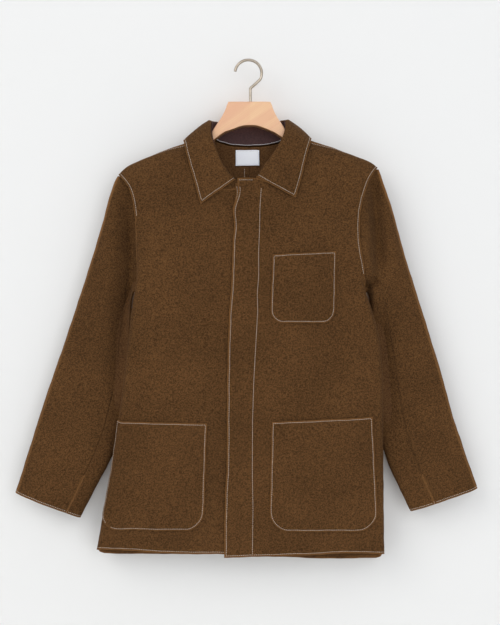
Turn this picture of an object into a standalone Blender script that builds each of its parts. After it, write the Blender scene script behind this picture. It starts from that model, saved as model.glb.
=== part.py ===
# A boiled-wool blazer hanging on a wooden hanger.
#
# The origin is where the hook rests on its peg. +Z is up, the front faces -Y, and +X is the wearer's left.
# Each panel is laid out on a flat sheet first. A place on a sheet is its reach, measured round the body from the
# centre line, and its drop, measured down from the shoulder line. sheet_point wraps that place round the hanging
# coat. A wall is then lofted through sections, each of which runs along the cloth's outer face and back along its
# inner one.

import math
from collections import namedtuple

import bmesh
import bpy
import numpy as np
from mathutils import Vector

# Cloth and sewing
WALL = 0.0022
SEAM_GAP = 0.0003
HALF_GAP = SEAM_GAP / 2
LAP = 0.005
HOLE_GAP = 0.0012
PATCH_GAP = 0.0008
PATCH_WALL = 0.0020
BAND_GAP = 0.0010
BAND_WALL = 0.0010
LABEL_WALL = 0.0010
LABEL_GAP = 0.0014
NORMAL_STEP = 0.0006
SHARP = math.radians(50)
MERGE = 0.00005

# The hanging body
CORNER = 0.012
SIDE_SEAM_Y = 0.004
SHOULDER_DROP = 0.090
FULL_DROP = SHOULDER_DROP * math.pi / 2
UNDERARM = -0.428
UPPER_START = -0.455
BACK_FLAT = 0.280
NECK_WIDTH = 0.078
BACK_NECK = -0.155
NECK_POWER = 2 / 2.2
SEAM_FORWARD = 0.033
SEAM_FORWARD_RUN = 0.11
RIDGE_GAP = 0.0005
BACK_WIDENS = 0.08

# The fly front
UNDERLAP = 0.052
FLY_WIDTH = 0.048
FLY_DEPTH = 2 * WALL + 4 * SEAM_GAP
STRIP_WALL = 0.0018
FLY_FADE = 0.060
FLY_STEP = 0.004
STRIP_TOP, STRIP_BOTTOM = -0.2285, -0.9065

# The hanger
WIRE = 0.0026
HOOK_RADIUS = 0.0247
HOOK_X = 0.0018
HOOK_NECK_TOP = -0.0510
CROOK_X = -0.0020
CROOK_TURNS = (172, -26, 19)
SOCKET_DEPTH = 0.018
WOOD_ROUND = 0.0055

SIDES = {"left": 1, "right": -1}
FACES = {"front": -1, "back": 1}
AROUND = 20
HOLE_ROUNDS = 40

# How the panels are divided: level rows from the hem up, and the shares of the way round the corner to the side seam.
LEVELS = np.linspace(-0.91, -0.50, 11)
ROUND_SHARES = (0.14, 0.30, 0.46, 0.64, 1.0)

# How far the body reaches each way at each height, how deep it is in front at the middle and at the flanks, how
# deep it is behind, and how many degrees its side wall leans in towards the back.
Torso = namedtuple("Torso", "height left right belly flank back lean")
TORSO = [
    Torso(-0.945, 0.249, 0.289, 0.030, 0.024, 0.030, 4),
    Torso(-0.850, 0.247, 0.2715, 0.032, 0.026, 0.031, 8),
    Torso(-0.740, 0.246, 0.251, 0.034, 0.028, 0.032, 16),
    Torso(-0.600, 0.245, 0.232, 0.037, 0.030, 0.033, 24),
    Torso(-0.540, 0.242, 0.225, 0.038, 0.030, 0.034, 26),
    Torso(-0.495, 0.235, 0.220, 0.038, 0.030, 0.034, 26),
    Torso(-0.455, 0.223, 0.215, 0.038, 0.030, 0.034, 24),
    Torso(-0.420, 0.213, 0.2095, 0.038, 0.030, 0.034, 20),
    Torso(-0.380, 0.222, 0.2065, 0.038, 0.030, 0.034, 10),
    Torso(-0.330, 0.236, 0.2100, 0.037, 0.030, 0.034, 0),
    Torso(-0.285, 0.245, 0.2320, 0.036, 0.029, 0.034, 0),
    Torso(-0.240, 0.251, 0.2560, 0.035, 0.028, 0.034, 0),
    Torso(-0.100, 0.262, 0.2620, 0.034, 0.028, 0.034, 0),
]

# The top line of the shoulders, from the middle outwards.
Shoulder = namedtuple("Shoulder", "reach left right")
SHOULDERS = [
    Shoulder(0.000, -0.1050, -0.1050),
    Shoulder(0.078, -0.1270, -0.1275),
    Shoulder(0.100, -0.1400, -0.1420),
    Shoulder(0.120, -0.1490, -0.1520),
    Shoulder(0.160, -0.1620, -0.1660),
    Shoulder(0.200, -0.1770, -0.1823),
    Shoulder(0.225, -0.1880, -0.1945),
    Shoulder(0.240, -0.1995, -0.2075),
    Shoulder(0.262, -0.2220, -0.2350),
]
SHOULDER_REACH = {"left": 0.237, "right": 0.242}

# The armhole's reach at each share of the way up from the underarm to the shoulder point.
Armhole = namedtuple("Armhole", "share left right back")
ARMHOLES = [
    Armhole(0.05, 0.2240, 0.2260, 0.2130),
    Armhole(0.12, 0.2145, 0.2180, 0.2060),
    Armhole(0.25, 0.2078, 0.2120, 0.2010),
    Armhole(0.40, 0.2022, 0.2090, 0.1985),
    Armhole(0.52, 0.2010, 0.2090, 0.1985),
    Armhole(0.66, 0.2038, 0.2096, 0.2010),
    Armhole(0.78, 0.2105, 0.2130, 0.2070),
    Armhole(0.90, 0.2205, 0.2240, 0.2190),
]

# The neck edge: its depth at the centre front, how far the visible top edge stands above it, and the degrees round
# from the centre at which its corners are set out, front and back. The collar has a section at each.
FRONT_NECK = {"left": -0.2220, "right": -0.2285}
TOP_EDGE = 0.0022
TOP_EDGE_X = 0.0085
FRONT_TURNS = {"left": (8, 29, 50, 69), "right": (18, 36, 54, 71)}
BACK_TURNS = (90, 112.5, 135, 157.5, 180)
SEAM_SHARES = np.array([0, 0.10, 0.20, 0.30, 0.39, 0.47, 0.55, 0.63, 0.71, 0.79, 0.84, 0.88, 0.92, 0.96, 1.0])
NEAR_COUNT, FLAT_COUNT = 4, 5
SPLIT = 0.085

# The hem's height at each share of the way round from the centre line to the side seam.
Hem = namedtuple("Hem", "share front_left front_right back_left back_right")
HEMS = [
    Hem(-0.20, -0.9117, -0.9067, -0.922, -0.917),
    Hem(0.10, -0.9100, -0.9065, -0.922, -0.917),
    Hem(0.30, -0.9085, -0.9055, -0.923, -0.918),
    Hem(0.45, -0.9070, -0.9045, -0.925, -0.918),
    Hem(0.65, -0.9045, -0.9015, -0.926, -0.917),
    Hem(0.88, -0.9062, -0.8985, -0.925, -0.916),
    Hem(1.00, -0.9100, -0.9040, -0.910, -0.904),
]

# The x of the upper front's raw edge, and of the fly strip's edge behind it, at each height.
FrontEdge = namedtuple("FrontEdge", "height upper strip")
FRONT_EDGES = [
    FrontEdge(-0.945, -0.0460, -0.0440),
    FrontEdge(-0.856, -0.0455, -0.0435),
    FrontEdge(-0.797, -0.0440, -0.0420),
    FrontEdge(-0.738, -0.0411, -0.0390),
    FrontEdge(-0.596, -0.0403, -0.0380),
    FrontEdge(-0.466, -0.0367, -0.0345),
    FrontEdge(-0.403, -0.0320, -0.0300),
    FrontEdge(-0.352, -0.0309, -0.0290),
    FrontEdge(-0.306, -0.0285, -0.0275),
    FrontEdge(-0.276, -0.0300, -0.0290),
    FrontEdge(-0.263, -0.0255, -0.0285),
    FrontEdge(-0.246, -0.0205, -0.0275),
    FrontEdge(-0.215, -0.0215, -0.0265),
]

# A sleeve's outer and inner edges, ring by ring from the armhole to the cuff: reach and height for each side, the
# depth at which the ring hangs, half its thickness, and how far it has turned from the armhole's shape into an oval.
Ring = namedtuple("Ring", "left_out left_out_z left_in left_in_z right_out right_out_z right_in right_in_z y half oval")
RINGS = [
    Ring(0.2440, -0.2120, 0.2150, -0.4262, 0.2500, -0.2230, 0.2110, -0.4262, 0.003, 0.029, 0.10),
    Ring(0.2550, -0.2450, 0.2195, -0.4310, 0.2600, -0.2540, 0.2150, -0.4320, 0.005, 0.028, 0.30),
    Ring(0.2690, -0.2880, 0.2225, -0.4430, 0.2720, -0.2980, 0.2175, -0.4460, 0.008, 0.026, 0.58),
    Ring(0.2840, -0.3430, 0.2250, -0.4700, 0.2870, -0.3470, 0.2185, -0.4760, 0.010, 0.024, 0.85),
    Ring(0.3020, -0.4010, 0.2285, -0.5080, 0.3060, -0.4060, 0.2200, -0.5160, 0.011, 0.023, 1.0),
    Ring(0.3220, -0.4640, 0.2330, -0.5580, 0.3260, -0.4670, 0.2215, -0.5650, 0.011, 0.022, 1.0),
    Ring(0.3410, -0.5260, 0.2350, -0.6060, 0.3460, -0.5280, 0.2250, -0.6130, 0.011, 0.022, 1.0),
    Ring(0.3590, -0.5850, 0.2370, -0.6520, 0.3650, -0.5820, 0.2320, -0.6580, 0.011, 0.021, 1.0),
    Ring(0.3730, -0.6390, 0.2430, -0.6960, 0.3830, -0.6350, 0.2430, -0.7020, 0.011, 0.020, 1.0),
    Ring(0.3880, -0.6870, 0.2560, -0.7400, 0.4010, -0.6920, 0.2620, -0.7460, 0.010, 0.018, 1.0),
    Ring(0.4060, -0.7400, 0.2770, -0.7880, 0.4180, -0.7470, 0.2870, -0.7930, 0.009, 0.017, 1.0),
    Ring(0.4235, -0.7905, 0.2990, -0.8332, 0.4342, -0.7985, 0.3134, -0.8447, 0.008, 0.016, 1.0),
]
SLEEVE_SEAM = {"left": 6, "right": 7}
SLEEVE_START = (-LAP, 0.0, 0.0035)
SLEEVE_SQUARE = 0.8

# The collar at each share of the neck seam from its front end to the centre back: its highest place on the roll, its
# outer edge, which way it falls (degrees from sideways), and how far its leaf bows out.
Roll = namedtuple("Roll", "share roll_x roll_y roll_z edge_x edge_y edge_z fall bow")
COLLAR = {
    "left": [
        Roll(0.00, 0.0140, -0.0375, -0.2180, 0.0839, -0.0385, -0.2556, -90, 0.000),
        Roll(0.12, 0.0276, -0.0370, -0.1951, 0.0925, -0.0380, -0.2260, -82, 0.001),
        Roll(0.25, 0.0426, -0.0335, -0.1752, 0.0995, -0.0355, -0.1985, -68, 0.001),
        Roll(0.37, 0.0560, -0.0330, -0.1538, 0.1065, -0.0310, -0.1710, -55, 0.002),
        Roll(0.48, 0.0672, -0.0215, -0.1280, 0.1120, -0.0200, -0.1510, -34, 0.003),
        Roll(0.60, 0.0715, 0.0050, -0.1065, 0.1150, 0.0040, -0.1420, 10, 0.003),
        Roll(0.73, 0.0600, 0.0240, -0.1055, 0.1060, 0.0290, -0.1640, 45, 0.003),
        Roll(0.86, 0.0390, 0.0315, -0.1095, 0.0720, 0.0390, -0.1930, 74, 0.002),
        Roll(1.00, 0.0000, 0.0335, -0.1110, 0.0000, 0.0420, -0.2060, 90, 0.002),
    ],
    "right": [
        Roll(0.00, 0.0262, -0.0352, -0.2225, 0.0888, -0.0385, -0.2669, -90, 0.000),
        Roll(0.12, 0.0410, -0.0350, -0.2050, 0.0985, -0.0385, -0.2310, -82, 0.001),
        Roll(0.25, 0.0535, -0.0330, -0.1835, 0.1075, -0.0360, -0.2010, -68, 0.001),
        Roll(0.37, 0.0650, -0.0330, -0.1560, 0.1150, -0.0305, -0.1725, -55, 0.002),
        Roll(0.48, 0.0722, -0.0215, -0.1325, 0.1200, -0.0190, -0.1535, -34, 0.003),
        Roll(0.60, 0.0745, 0.0050, -0.1075, 0.1225, 0.0040, -0.1460, 10, 0.003),
        Roll(0.73, 0.0650, 0.0240, -0.1075, 0.1110, 0.0290, -0.1680, 45, 0.003),
        Roll(0.86, 0.0410, 0.0315, -0.1095, 0.0740, 0.0390, -0.1940, 74, 0.002),
        Roll(1.00, 0.0000, 0.0335, -0.1110, 0.0000, 0.0420, -0.2060, 90, 0.002),
    ],
}
ROLL_RADIUS = 0.0042
LOWEST_BEND = -0.9
STAND_SHARES = (0.33, 0.67)
BENDS, LEAF_STEPS = 5, 7
BAND_START = 3

# Patch pockets: reach of the near and far sides at the top and at the bottom, heights, and the corners' radius. A
# far side past the body's corner stops POCKET_WRAP round it.
Pocket = namedtuple("Pocket", "name side near far near_low far_low near_top far_top bottom radius")
POCKETS = [
    Pocket("chest_pocket", "left", 0.0425, 0.1580, 0.0385, 0.1560, -0.3595, -0.3530, -0.4835, 0.024),
    Pocket("pocket_left", "left", 0.0410, 0.2247, 0.0372, 0.2331, -0.6636, -0.6554, -0.8640, 0.036),
    Pocket("pocket_right", "right", 0.0775, 0.3000, 0.0828, 0.3000, -0.6667, -0.6605, -0.8620, 0.036),
]
POCKET_GAPE = 0.0035
GAPE_FADE = 2.5
POCKET_WRAP = 0.013
POCKET_ARC = np.radians([22.5, 45, 67.5, 86])
POCKET_FLAT, POCKET_ROUND, POCKET_ROWS = 5, 3, 7

# The label on the back's inner face.
LABEL_LEFT, LABEL_RIGHT = 0.0184, -0.0259
LABEL_TOP, LABEL_BOTTOM = -0.1598, -0.1892

# The wooden hanger's outline at each reach from its middle.
Wood = namedtuple("Wood", "reach top bottom half")
WOOD = [
    Wood(0.0000, -0.0750, -0.1215, 0.0090),
    Wood(0.0080, -0.0750, -0.1217, 0.0090),
    Wood(0.0180, -0.0750, -0.1235, 0.0090),
    Wood(0.0340, -0.0750, -0.1290, 0.0090),
    Wood(0.0385, -0.0765, -0.1305, 0.0090),
    Wood(0.0415, -0.0810, -0.1320, 0.0090),
    Wood(0.0440, -0.0890, -0.1330, 0.0090),
    Wood(0.0510, -0.1030, -0.1375, 0.0090),
    Wood(0.0600, -0.1165, -0.1440, 0.0085),
    Wood(0.0720, -0.1340, -0.1530, 0.0078),
    Wood(0.0850, -0.1465, -0.1640, 0.0075),
    Wood(0.1100, -0.1570, -0.1755, 0.0075),
    Wood(0.1400, -0.1675, -0.1855, 0.0075),
    Wood(0.1700, -0.1790, -0.1945, 0.0070),
    Wood(0.1950, -0.1885, -0.2015, 0.0060),
    Wood(0.2030, -0.1930, -0.1995, 0.0035),
]

COLOURS = {
    "wool": ((0.098, 0.046, 0.016), 0.9, 0.0),
    "felt": ((0.042, 0.016, 0.016), 0.95, 0.0),
    "satin": ((0.78, 0.80, 0.88), 0.5, 0.0),
    "maple": ((0.80, 0.51, 0.30), 0.45, 0.0),
    "nickel": ((0.50, 0.43, 0.34), 0.28, 1.0),
}


def table(rows, column, at):
    """A smooth curve through one column of a table, read at values of the table's first column."""
    knots = np.array([row[0] for row in rows], float)
    values = np.array([getattr(row, column) for row in rows], float)
    gaps = np.diff(knots)
    slopes = np.diff(values) / gaps
    same_way = slopes[:-1] * slopes[1:] > 0
    total = np.where(same_way, slopes[:-1] + slopes[1:], 1)
    inner = np.where(same_way, 2 * slopes[:-1] * slopes[1:] / total, 0)
    tangents = np.concatenate([slopes[:1], inner, slopes[-1:]])
    at = np.clip(np.asarray(at, float), knots[0], knots[-1])
    i = np.clip(np.searchsorted(knots, at) - 1, 0, len(gaps) - 1)
    t = (at - knots[i]) / gaps[i]
    near = (1 + 2 * t) * (1 - t) ** 2 * values[i] + t * (1 - t) ** 2 * gaps[i] * tangents[i]
    far = t * t * (3 - 2 * t) * values[i + 1] + t * t * (t - 1) * gaps[i] * tangents[i + 1]
    return near + far


def ease(share):
    """0 to 1 with level ends."""
    share = np.clip(share, 0, 1)
    return share * share * (3 - 2 * share)


def unit(vectors):
    return vectors / np.linalg.norm(vectors, axis=-1, keepdims=True)


def by_side(rows, x, at):
    return np.where(np.asarray(x) >= 0, table(rows, "left", at), table(rows, "right", at))


def shoulder_line(x):
    return by_side(SHOULDERS, x, np.abs(x))


def below_shoulder(drop):
    """How far under the shoulder line a drop reaches: a quarter ellipse first, then straight down."""
    drop = np.abs(drop)
    turn = np.minimum(drop / SHOULDER_DROP, math.pi / 2)
    return SHOULDER_DROP * (1 - np.cos(turn)) + np.maximum(drop - FULL_DROP, 0)


def drop_at(below):
    """The drop that reaches this far under the shoulder line."""
    share = np.clip(1 - np.asarray(below, float) / SHOULDER_DROP, 0, 1)
    return SHOULDER_DROP * np.arccos(share) + np.maximum(below - SHOULDER_DROP, 0)


def shoulder_round(x, height):
    return np.sin(np.minimum(drop_at(shoulder_line(x) - height) / SHOULDER_DROP, math.pi / 2))


def front_depth(x, height):
    flat = by_side(TORSO, x, height) - CORNER
    share = np.clip(np.abs(x) / flat, 0, 1)
    belly, flank = table(TORSO, "belly", height), table(TORSO, "flank", height)
    return -(flank + (belly - flank) * np.cos(share * math.pi / 2) ** 2) * shoulder_round(x, height)


def back_depth(x, height):
    return table(TORSO, "back", height) * shoulder_round(x, height)


def side_wall(side, height):
    """Where the front's corner starts and ends, and the lean of the side wall behind it."""
    lean = np.radians(table(TORSO, "lean", height))
    start = table(TORSO, side, height) - CORNER
    start_y = front_depth(SIDES[side] * start, height)
    return start, start_y, start + CORNER * np.cos(lean), start_y + CORNER * (1 + np.sin(lean)), lean


def front_point(side, reach, height):
    """Reach and height, wrapped round a flat front, a round corner and a leaning side wall."""
    start, start_y, _, _, lean = side_wall(side, height)
    turn = np.clip((reach - start) / CORNER, 0, math.pi / 2 + lean)
    run = np.maximum(reach - start - CORNER * (math.pi / 2 + lean), 0)
    flat = reach <= start
    x = np.where(flat, reach, start + CORNER * np.sin(turn) - run * np.sin(lean))
    round_y = start_y + CORNER * (1 - np.cos(turn)) + run * np.cos(lean)
    y = np.where(flat, front_depth(SIDES[side] * reach, height), round_y)
    return np.stack([SIDES[side] * x, y, height + 0 * x], axis=-1)


def front_side_reach(side, height):
    start, _, _, end_y, lean = side_wall(side, height)
    return start + CORNER * (math.pi / 2 + lean) + (SIDE_SEAM_Y - end_y) / np.cos(lean)


def back_corner(side, height):
    """Where the back's corner starts, so that its wall runs on from the front's."""
    _, _, end_x, end_y, lean = side_wall(side, height)
    back = back_depth(SIDES[side] * (end_x - 2 * CORNER), height)
    wall_y = back - CORNER * (1 - np.sin(lean))
    corner = end_x - (wall_y - end_y) * np.tan(lean) - CORNER * np.cos(lean)
    above = ease((height - UNDERARM) / BACK_WIDENS)
    return corner + (BACK_FLAT - corner) * above, back, wall_y, lean


def back_point(side, reach, height):
    """Reach and height, wrapped round the back from the centre-back seam to the side seam."""
    start, start_y, _, lean = back_corner(side, height)
    turn = np.clip((reach - start) / CORNER, 0, math.pi / 2 - lean)
    run = np.maximum(reach - start - CORNER * (math.pi / 2 - lean), 0)
    flat = reach <= start
    x = np.where(flat, reach, start + CORNER * np.sin(turn) + run * np.sin(lean))
    round_y = start_y - CORNER * (1 - np.cos(turn)) - run * np.cos(lean)
    y = np.where(flat, back_depth(SIDES[side] * reach, height), round_y)
    return np.stack([SIDES[side] * x, y, height + 0 * x], axis=-1)


def back_side_reach(side, height):
    start, _, wall_y, lean = back_corner(side, height)
    return start + CORNER * (math.pi / 2 - lean) + (wall_y - SIDE_SEAM_Y) / np.cos(lean)


SIDE_REACH = {"front": front_side_reach, "back": back_side_reach}
WRAP = {"front": front_point, "back": back_point}
DEPTH = {"front": front_depth, "back": back_depth}


def sheet_point(face, side, reach, drop):
    """A place on a sheet, in space. A drop under zero has crossed the shoulder line to the other face."""
    reach, drop = np.broadcast_arrays(np.asarray(reach, float), np.asarray(drop, float))
    height = shoulder_line(SIDES[side] * reach) - below_shoulder(drop)
    points = WRAP[face](side, reach, height)
    other = "back" if face == "front" else "front"
    points[..., 1] = np.where(drop < 0, DEPTH[other](points[..., 0], height), points[..., 1])
    return points


def moved_in(face, side, reach, drop, inset):
    """A place on a sheet, moved into the coat along the sheet's normal."""
    step = NORMAL_STEP
    across = sheet_point(face, side, reach + step, drop) - sheet_point(face, side, reach - step, drop)
    down = sheet_point(face, side, reach, drop + step) - sheet_point(face, side, reach, drop - step)
    outward = unit(np.cross(across, down)) * SIDES[side] * FACES[face]
    return sheet_point(face, side, reach, drop) - outward * np.asarray(inset)[..., None]


def armhole_reach(face, side, height):
    """The armhole's reach at a height, and below the underarm the side seam's."""
    top = float(shoulder_line(SIDES[side] * SHOULDER_REACH[side]))
    seam = float(SIDE_REACH[face](side, np.array(UNDERARM)))
    rows = [Armhole(0, seam, seam, seam), *ARMHOLES, Armhole(1, *3 * [SHOULDER_REACH[side]])]
    return table(rows, side if face == "front" else "back", (height - UNDERARM) / (top - UNDERARM))


def armhole(face, side):
    """The armhole's edge, from the underarm to the shoulder point: reaches and drops."""
    shares = (1 + np.cos(np.linspace(math.pi, 0, AROUND // 2 + 1))) / 2
    seam = float(SIDE_REACH[face](side, np.array(UNDERARM)))
    lowest = drop_at(shoulder_line(SIDES[side] * seam) - UNDERARM)
    reach = np.full(shares.shape, SHOULDER_REACH[side])
    for _ in range(HOLE_ROUNDS):
        start = drop_at(shoulder_line(SIDES[side] * reach) - UNDERARM)
        drop = np.where(shares == 0, lowest, start * (1 - shares))
        height = shoulder_line(SIDES[side] * reach) - below_shoulder(drop)
        reach = 0.5 * reach + 0.5 * armhole_reach(face, side, height)
    reach[0], drop[0], reach[-1] = seam, lowest, SHOULDER_REACH[side]
    return reach, drop


def neck_place(face, side, angle):
    """The neck edge's reach and height, by degrees round from the centre front to the centre back."""
    turn = np.radians(angle)
    reach = NECK_WIDTH * np.abs(np.sin(turn)) ** NECK_POWER
    low = FRONT_NECK[side] if face == "front" else BACK_NECK
    top = shoulder_line(SIDES[side] * NECK_WIDTH)
    return reach, low + (top - low) * (1 - np.abs(np.cos(turn)) ** NECK_POWER)


def seam_drop(reach):
    """How far in front of the shoulder line the shoulder seam lies, as a drop."""
    return SEAM_FORWARD * (1 - ease((reach - NECK_WIDTH) / SEAM_FORWARD_RUN))


def corner_turn(side):
    """How many degrees round the neck edge meets the shoulder seam."""
    turns = np.linspace(60, 90, 3001)
    reach, height = neck_place("front", side, turns)
    return float(turns[np.argmin(np.abs(drop_at(shoulder_line(SIDES[side] * reach) - height) - SEAM_FORWARD))])


def neck_places(face, side):
    """The corners of the neck edge on one face's sheet, from the centre to the shoulder seam: reaches and drops."""
    corner = corner_turn(side)
    if face == "front":
        reach, height = neck_place("front", side, np.array([*FRONT_TURNS[side], corner]))
        drop = drop_at(shoulder_line(SIDES[side] * reach) - height)
        drop[-1] = SEAM_FORWARD + RIDGE_GAP
        return reach, drop
    reach, height = neck_place("back", side, np.array(BACK_TURNS[::-1]))
    drop = drop_at(shoulder_line(SIDES[side] * reach) - height)
    corner_reach = neck_place("front", side, corner)[0]
    return np.append(reach, corner_reach), np.append(drop, -SEAM_FORWARD + RIDGE_GAP)


def near_edge(face, side, edge, count):
    """A panel's edge from the underarm's level up the centre, then along the neck: reaches and drops."""
    neck, neck_drop = neck_places(face, side)
    if face == "front":
        start = TOP_EDGE_X if side == "left" else 0.0
        top = FRONT_NECK[side] + (TOP_EDGE if side == "left" else 0)
        level = drop_at(shoulder_line(SIDES[side] * start) - top)
        neck, neck_drop = np.array([start, *neck]), np.array([level, *neck_drop])
    else:
        neck, neck_drop = neck[1:], neck_drop[1:]
        top = BACK_NECK
    crowding = 1 if face == "front" else 2
    heights = top - (top - UPPER_START) * np.linspace(1, 0, count - len(neck)) ** crowding
    reach = np.array([edge(height) for height in heights])
    drop = drop_at(shoulder_line(SIDES[side] * reach) - heights)
    return np.concatenate([reach, neck]), np.concatenate([drop, neck_drop])


def across_row(face, side, height, near):
    """The reaches of one level row: even across the flat, then closer round the corner to the side seam."""
    far = SIDE_REACH[face](side, height) - HALF_GAP
    start = side_wall(side, height)[0] if face == "front" else back_corner(side, height)[0]
    corner = start + (far - start) * np.array(ROUND_SHARES)
    return np.concatenate([
        np.linspace(near, SPLIT, NEAR_COUNT + 1),
        np.linspace(SPLIT, start, FLAT_COUNT + 1)[1:],
        corner,
    ])


def panel(face, side, edge):
    """A panel's places on its sheet: level rows to the underarm, then rows from the neck to the armhole."""
    reaches, heights = [], []
    for level in (*LEVELS, UPPER_START):
        row = across_row(face, side, np.array(level), edge(level))
        height = np.full(row.shape, level)
        if not reaches:
            height = table(HEMS, f"{face}_{side}", row / row[-1])
            row = np.array([across_row(face, side, np.array(h), edge(h))[j] for j, h in enumerate(height)])
        reaches.append(row)
        heights.append(height)
    reaches, heights = np.array(reaches), np.array(heights)
    drops = drop_at(shoulder_line(SIDES[side] * reaches) - heights)

    hole, hole_drop = armhole(face, side)
    hole[0] -= HALF_GAP
    far = np.append(reaches[-1, -1], hole), np.append(drops[-1, -1], hole_drop)
    near = near_edge(face, side, edge, len(far[0]))
    seam = near[0][-1] + (SHOULDER_REACH[side] - near[0][-1]) * SEAM_SHARES
    seam_drops = -FACES[face] * seam_drop(seam) + RIDGE_GAP
    far[1][-1] = seam_drops[-1]
    base = reaches[-1]
    u = (base - base[0]) / (base[-1] - base[0])
    v = np.linspace(0, 1, len(near[0]))[1:, None]
    fans = []
    for low, high, left, right in ((base, seam, near[0], far[0]), (drops[-1], seam_drops, near[1], far[1])):
        left, right = left[1:, None], right[1:, None]
        corners = (1 - u) * ((1 - v) * low[0] + v * high[0]) + u * ((1 - v) * low[-1] + v * high[-1])
        fans.append((1 - u) * left + u * right + (1 - v) * low + v * high - corners)
    return np.vstack([reaches, fans[0]]), np.vstack([drops, fans[1]])


def upper_edge(height):
    return table(FRONT_EDGES, "upper", height)


def fly_sink(x, height):
    """How far the under front lies behind the upper one at this place."""
    return FLY_DEPTH * ease((x - upper_edge(height) + FLY_FADE) / (FLY_FADE - FLY_STEP))


def front_wall(side, reach, drop):
    """A front's outer and inner faces."""
    height = shoulder_line(SIDES[side] * reach) - below_shoulder(drop)
    sink = fly_sink(SIDES[side] * reach, height) if side == "right" else 0 * reach
    return moved_in("front", side, reach, drop, sink), moved_in("front", side, reach, drop, sink + WALL)


def piece(name, mesh, colour, collection):
    obj = bpy.data.objects.new(name, mesh)
    collection.objects.link(obj)
    mesh.materials.append(colour)
    mesh.shade_smooth()
    mesh.set_sharp_from_angle(angle=SHARP)
    return obj


def wall(name, outer, inner, colour, collection):
    """A cloth wall, lofted through closed sections that run along the outer face and back along the inner one."""
    build = bmesh.new()
    sections = [[build.verts.new(p) for p in (*a, *b[::-1])] for a, b in zip(outer, inner)]
    for one, two in zip(sections, sections[1:]):
        for i in range(len(one)):
            k = (i + 1) % len(one)
            build.faces.new((one[i], one[k], two[k], two[i]))
    for section in (sections[0], sections[-1]):
        for i in range(len(section) // 2 - 1):
            build.faces.new((section[i], section[-1 - i], section[-2 - i], section[i + 1]))
    bmesh.ops.recalc_face_normals(build, faces=build.faces)
    mesh = bpy.data.meshes.new(name)
    build.to_mesh(mesh)
    build.free()
    return piece(name, mesh, colour, collection)


def grid_normals(grid, closed):
    """Normals of a grid of points, from its neighbours along and across."""
    along = np.gradient(grid, axis=0)
    across = (np.roll(grid, -1, axis=1) - np.roll(grid, 1, axis=1)) if closed else np.gradient(grid, axis=1)
    return unit(np.cross(across, along))


def oval_share(angle):
    return (1 - np.cos(angle)) / 2


def armhole_ring(side):
    """The hole that a sleeve passes through: the inner edge of the armhole, all round."""
    half = AROUND // 2
    points = np.zeros((AROUND, 3))
    for face, order in (("front", range(half, -1, -1)), ("back", range(half + 1))):
        reach, drop = armhole(face, side)
        drop[-1] = RIDGE_GAP
        edge = moved_in(face, side, reach, drop, np.full(reach.shape, WALL))
        for j, k in enumerate(order):
            at = j if face == "front" else (half + j) % AROUND
            points[at] = edge[k]
    return points


def inset_ring(ring, amount):
    """A ring drawn in towards its middle, seen from the side."""
    flat = ring[:, 1:]
    tangent = unit(np.roll(flat, -1, axis=0) - np.roll(flat, 1, axis=0))
    inward = np.stack([-tangent[:, 1], tangent[:, 0]], axis=1)
    middle = flat.mean(axis=0)
    if np.sum((middle - flat) * inward) < 0:
        inward = -inward
    moved = ring.copy()
    moved[:, 1:] += inward * amount
    return moved


def sleeve_rings(side):
    """The sleeve's outer face, ring by ring, from its end under the armhole's edge to the cuff."""
    sign = SIDES[side]
    hole = inset_ring(armhole_ring(side), HOLE_GAP)
    half = AROUND // 2
    top, low = hole[0], hole[half]
    chord = low - top
    length = math.hypot(chord[0], chord[2])
    along = np.array([chord[0], 0, chord[2]]) / length
    across = np.array([along[2], 0, -along[0]])
    offset = hole - top
    share = offset @ along / length
    bend = offset @ across / length
    angle = np.arange(AROUND) * 2 * math.pi / AROUND
    rings = [hole + np.array([sign * shift, 0, 0]) for shift in SLEEVE_START]
    for ring in RINGS:
        start = np.array([sign * getattr(ring, f"{side}_out"), 0, getattr(ring, f"{side}_out_z")])
        end = np.array([sign * getattr(ring, f"{side}_in"), 0, getattr(ring, f"{side}_in_z")])
        way = end - start
        side_way = np.array([way[2], 0, -way[0]])
        w = ring.oval
        t = (1 - w) * share + w * oval_share(angle)
        b = (1 - w) * bend
        y_hole = hole[:, 1]
        y_oval = ring.y - ring.half * np.sign(np.sin(angle)) * np.abs(np.sin(angle)) ** SLEEVE_SQUARE
        points = start + t[:, None] * way + b[:, None] * side_way
        points[:, 1] = (1 - w) * y_hole + w * y_oval
        rings.append(points)
    return np.array(rings)


def densify(rings, keep):
    """A smooth ring between each two, after the first few."""
    rows = list(rings[:keep])
    for i in range(keep - 1, len(rings) - 1):
        before, a, b = rings[max(i - 1, 0)], rings[i], rings[i + 1]
        after = rings[min(i + 2, len(rings) - 1)]
        rows.append((9 * (a + b) - before - after) / 16)
        rows.append(b)
    return np.array(rows)


def make_sleeve(side, colour, collection):
    rings = densify(sleeve_rings(side), len(SLEEVE_START) + 1)
    normals = grid_normals(rings, closed=True)
    middle = rings.mean(axis=1, keepdims=True)
    if np.sum(normals * (rings - middle)) < 0:
        normals = -normals
    seam = SLEEVE_SEAM[side]
    order = [(seam + k) % AROUND for k in range(AROUND + 1)]
    outer = rings[:, order]
    normals = normals[:, order]
    tangent = unit(rings[:, (seam + 1) % AROUND] - rings[:, seam - 1])
    outer[:, 0] += tangent * HALF_GAP
    outer[:, -1] -= tangent * HALF_GAP
    inner = outer - normals * WALL
    return wall(f"sleeve_{side}", outer, inner, colour, collection)


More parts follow.
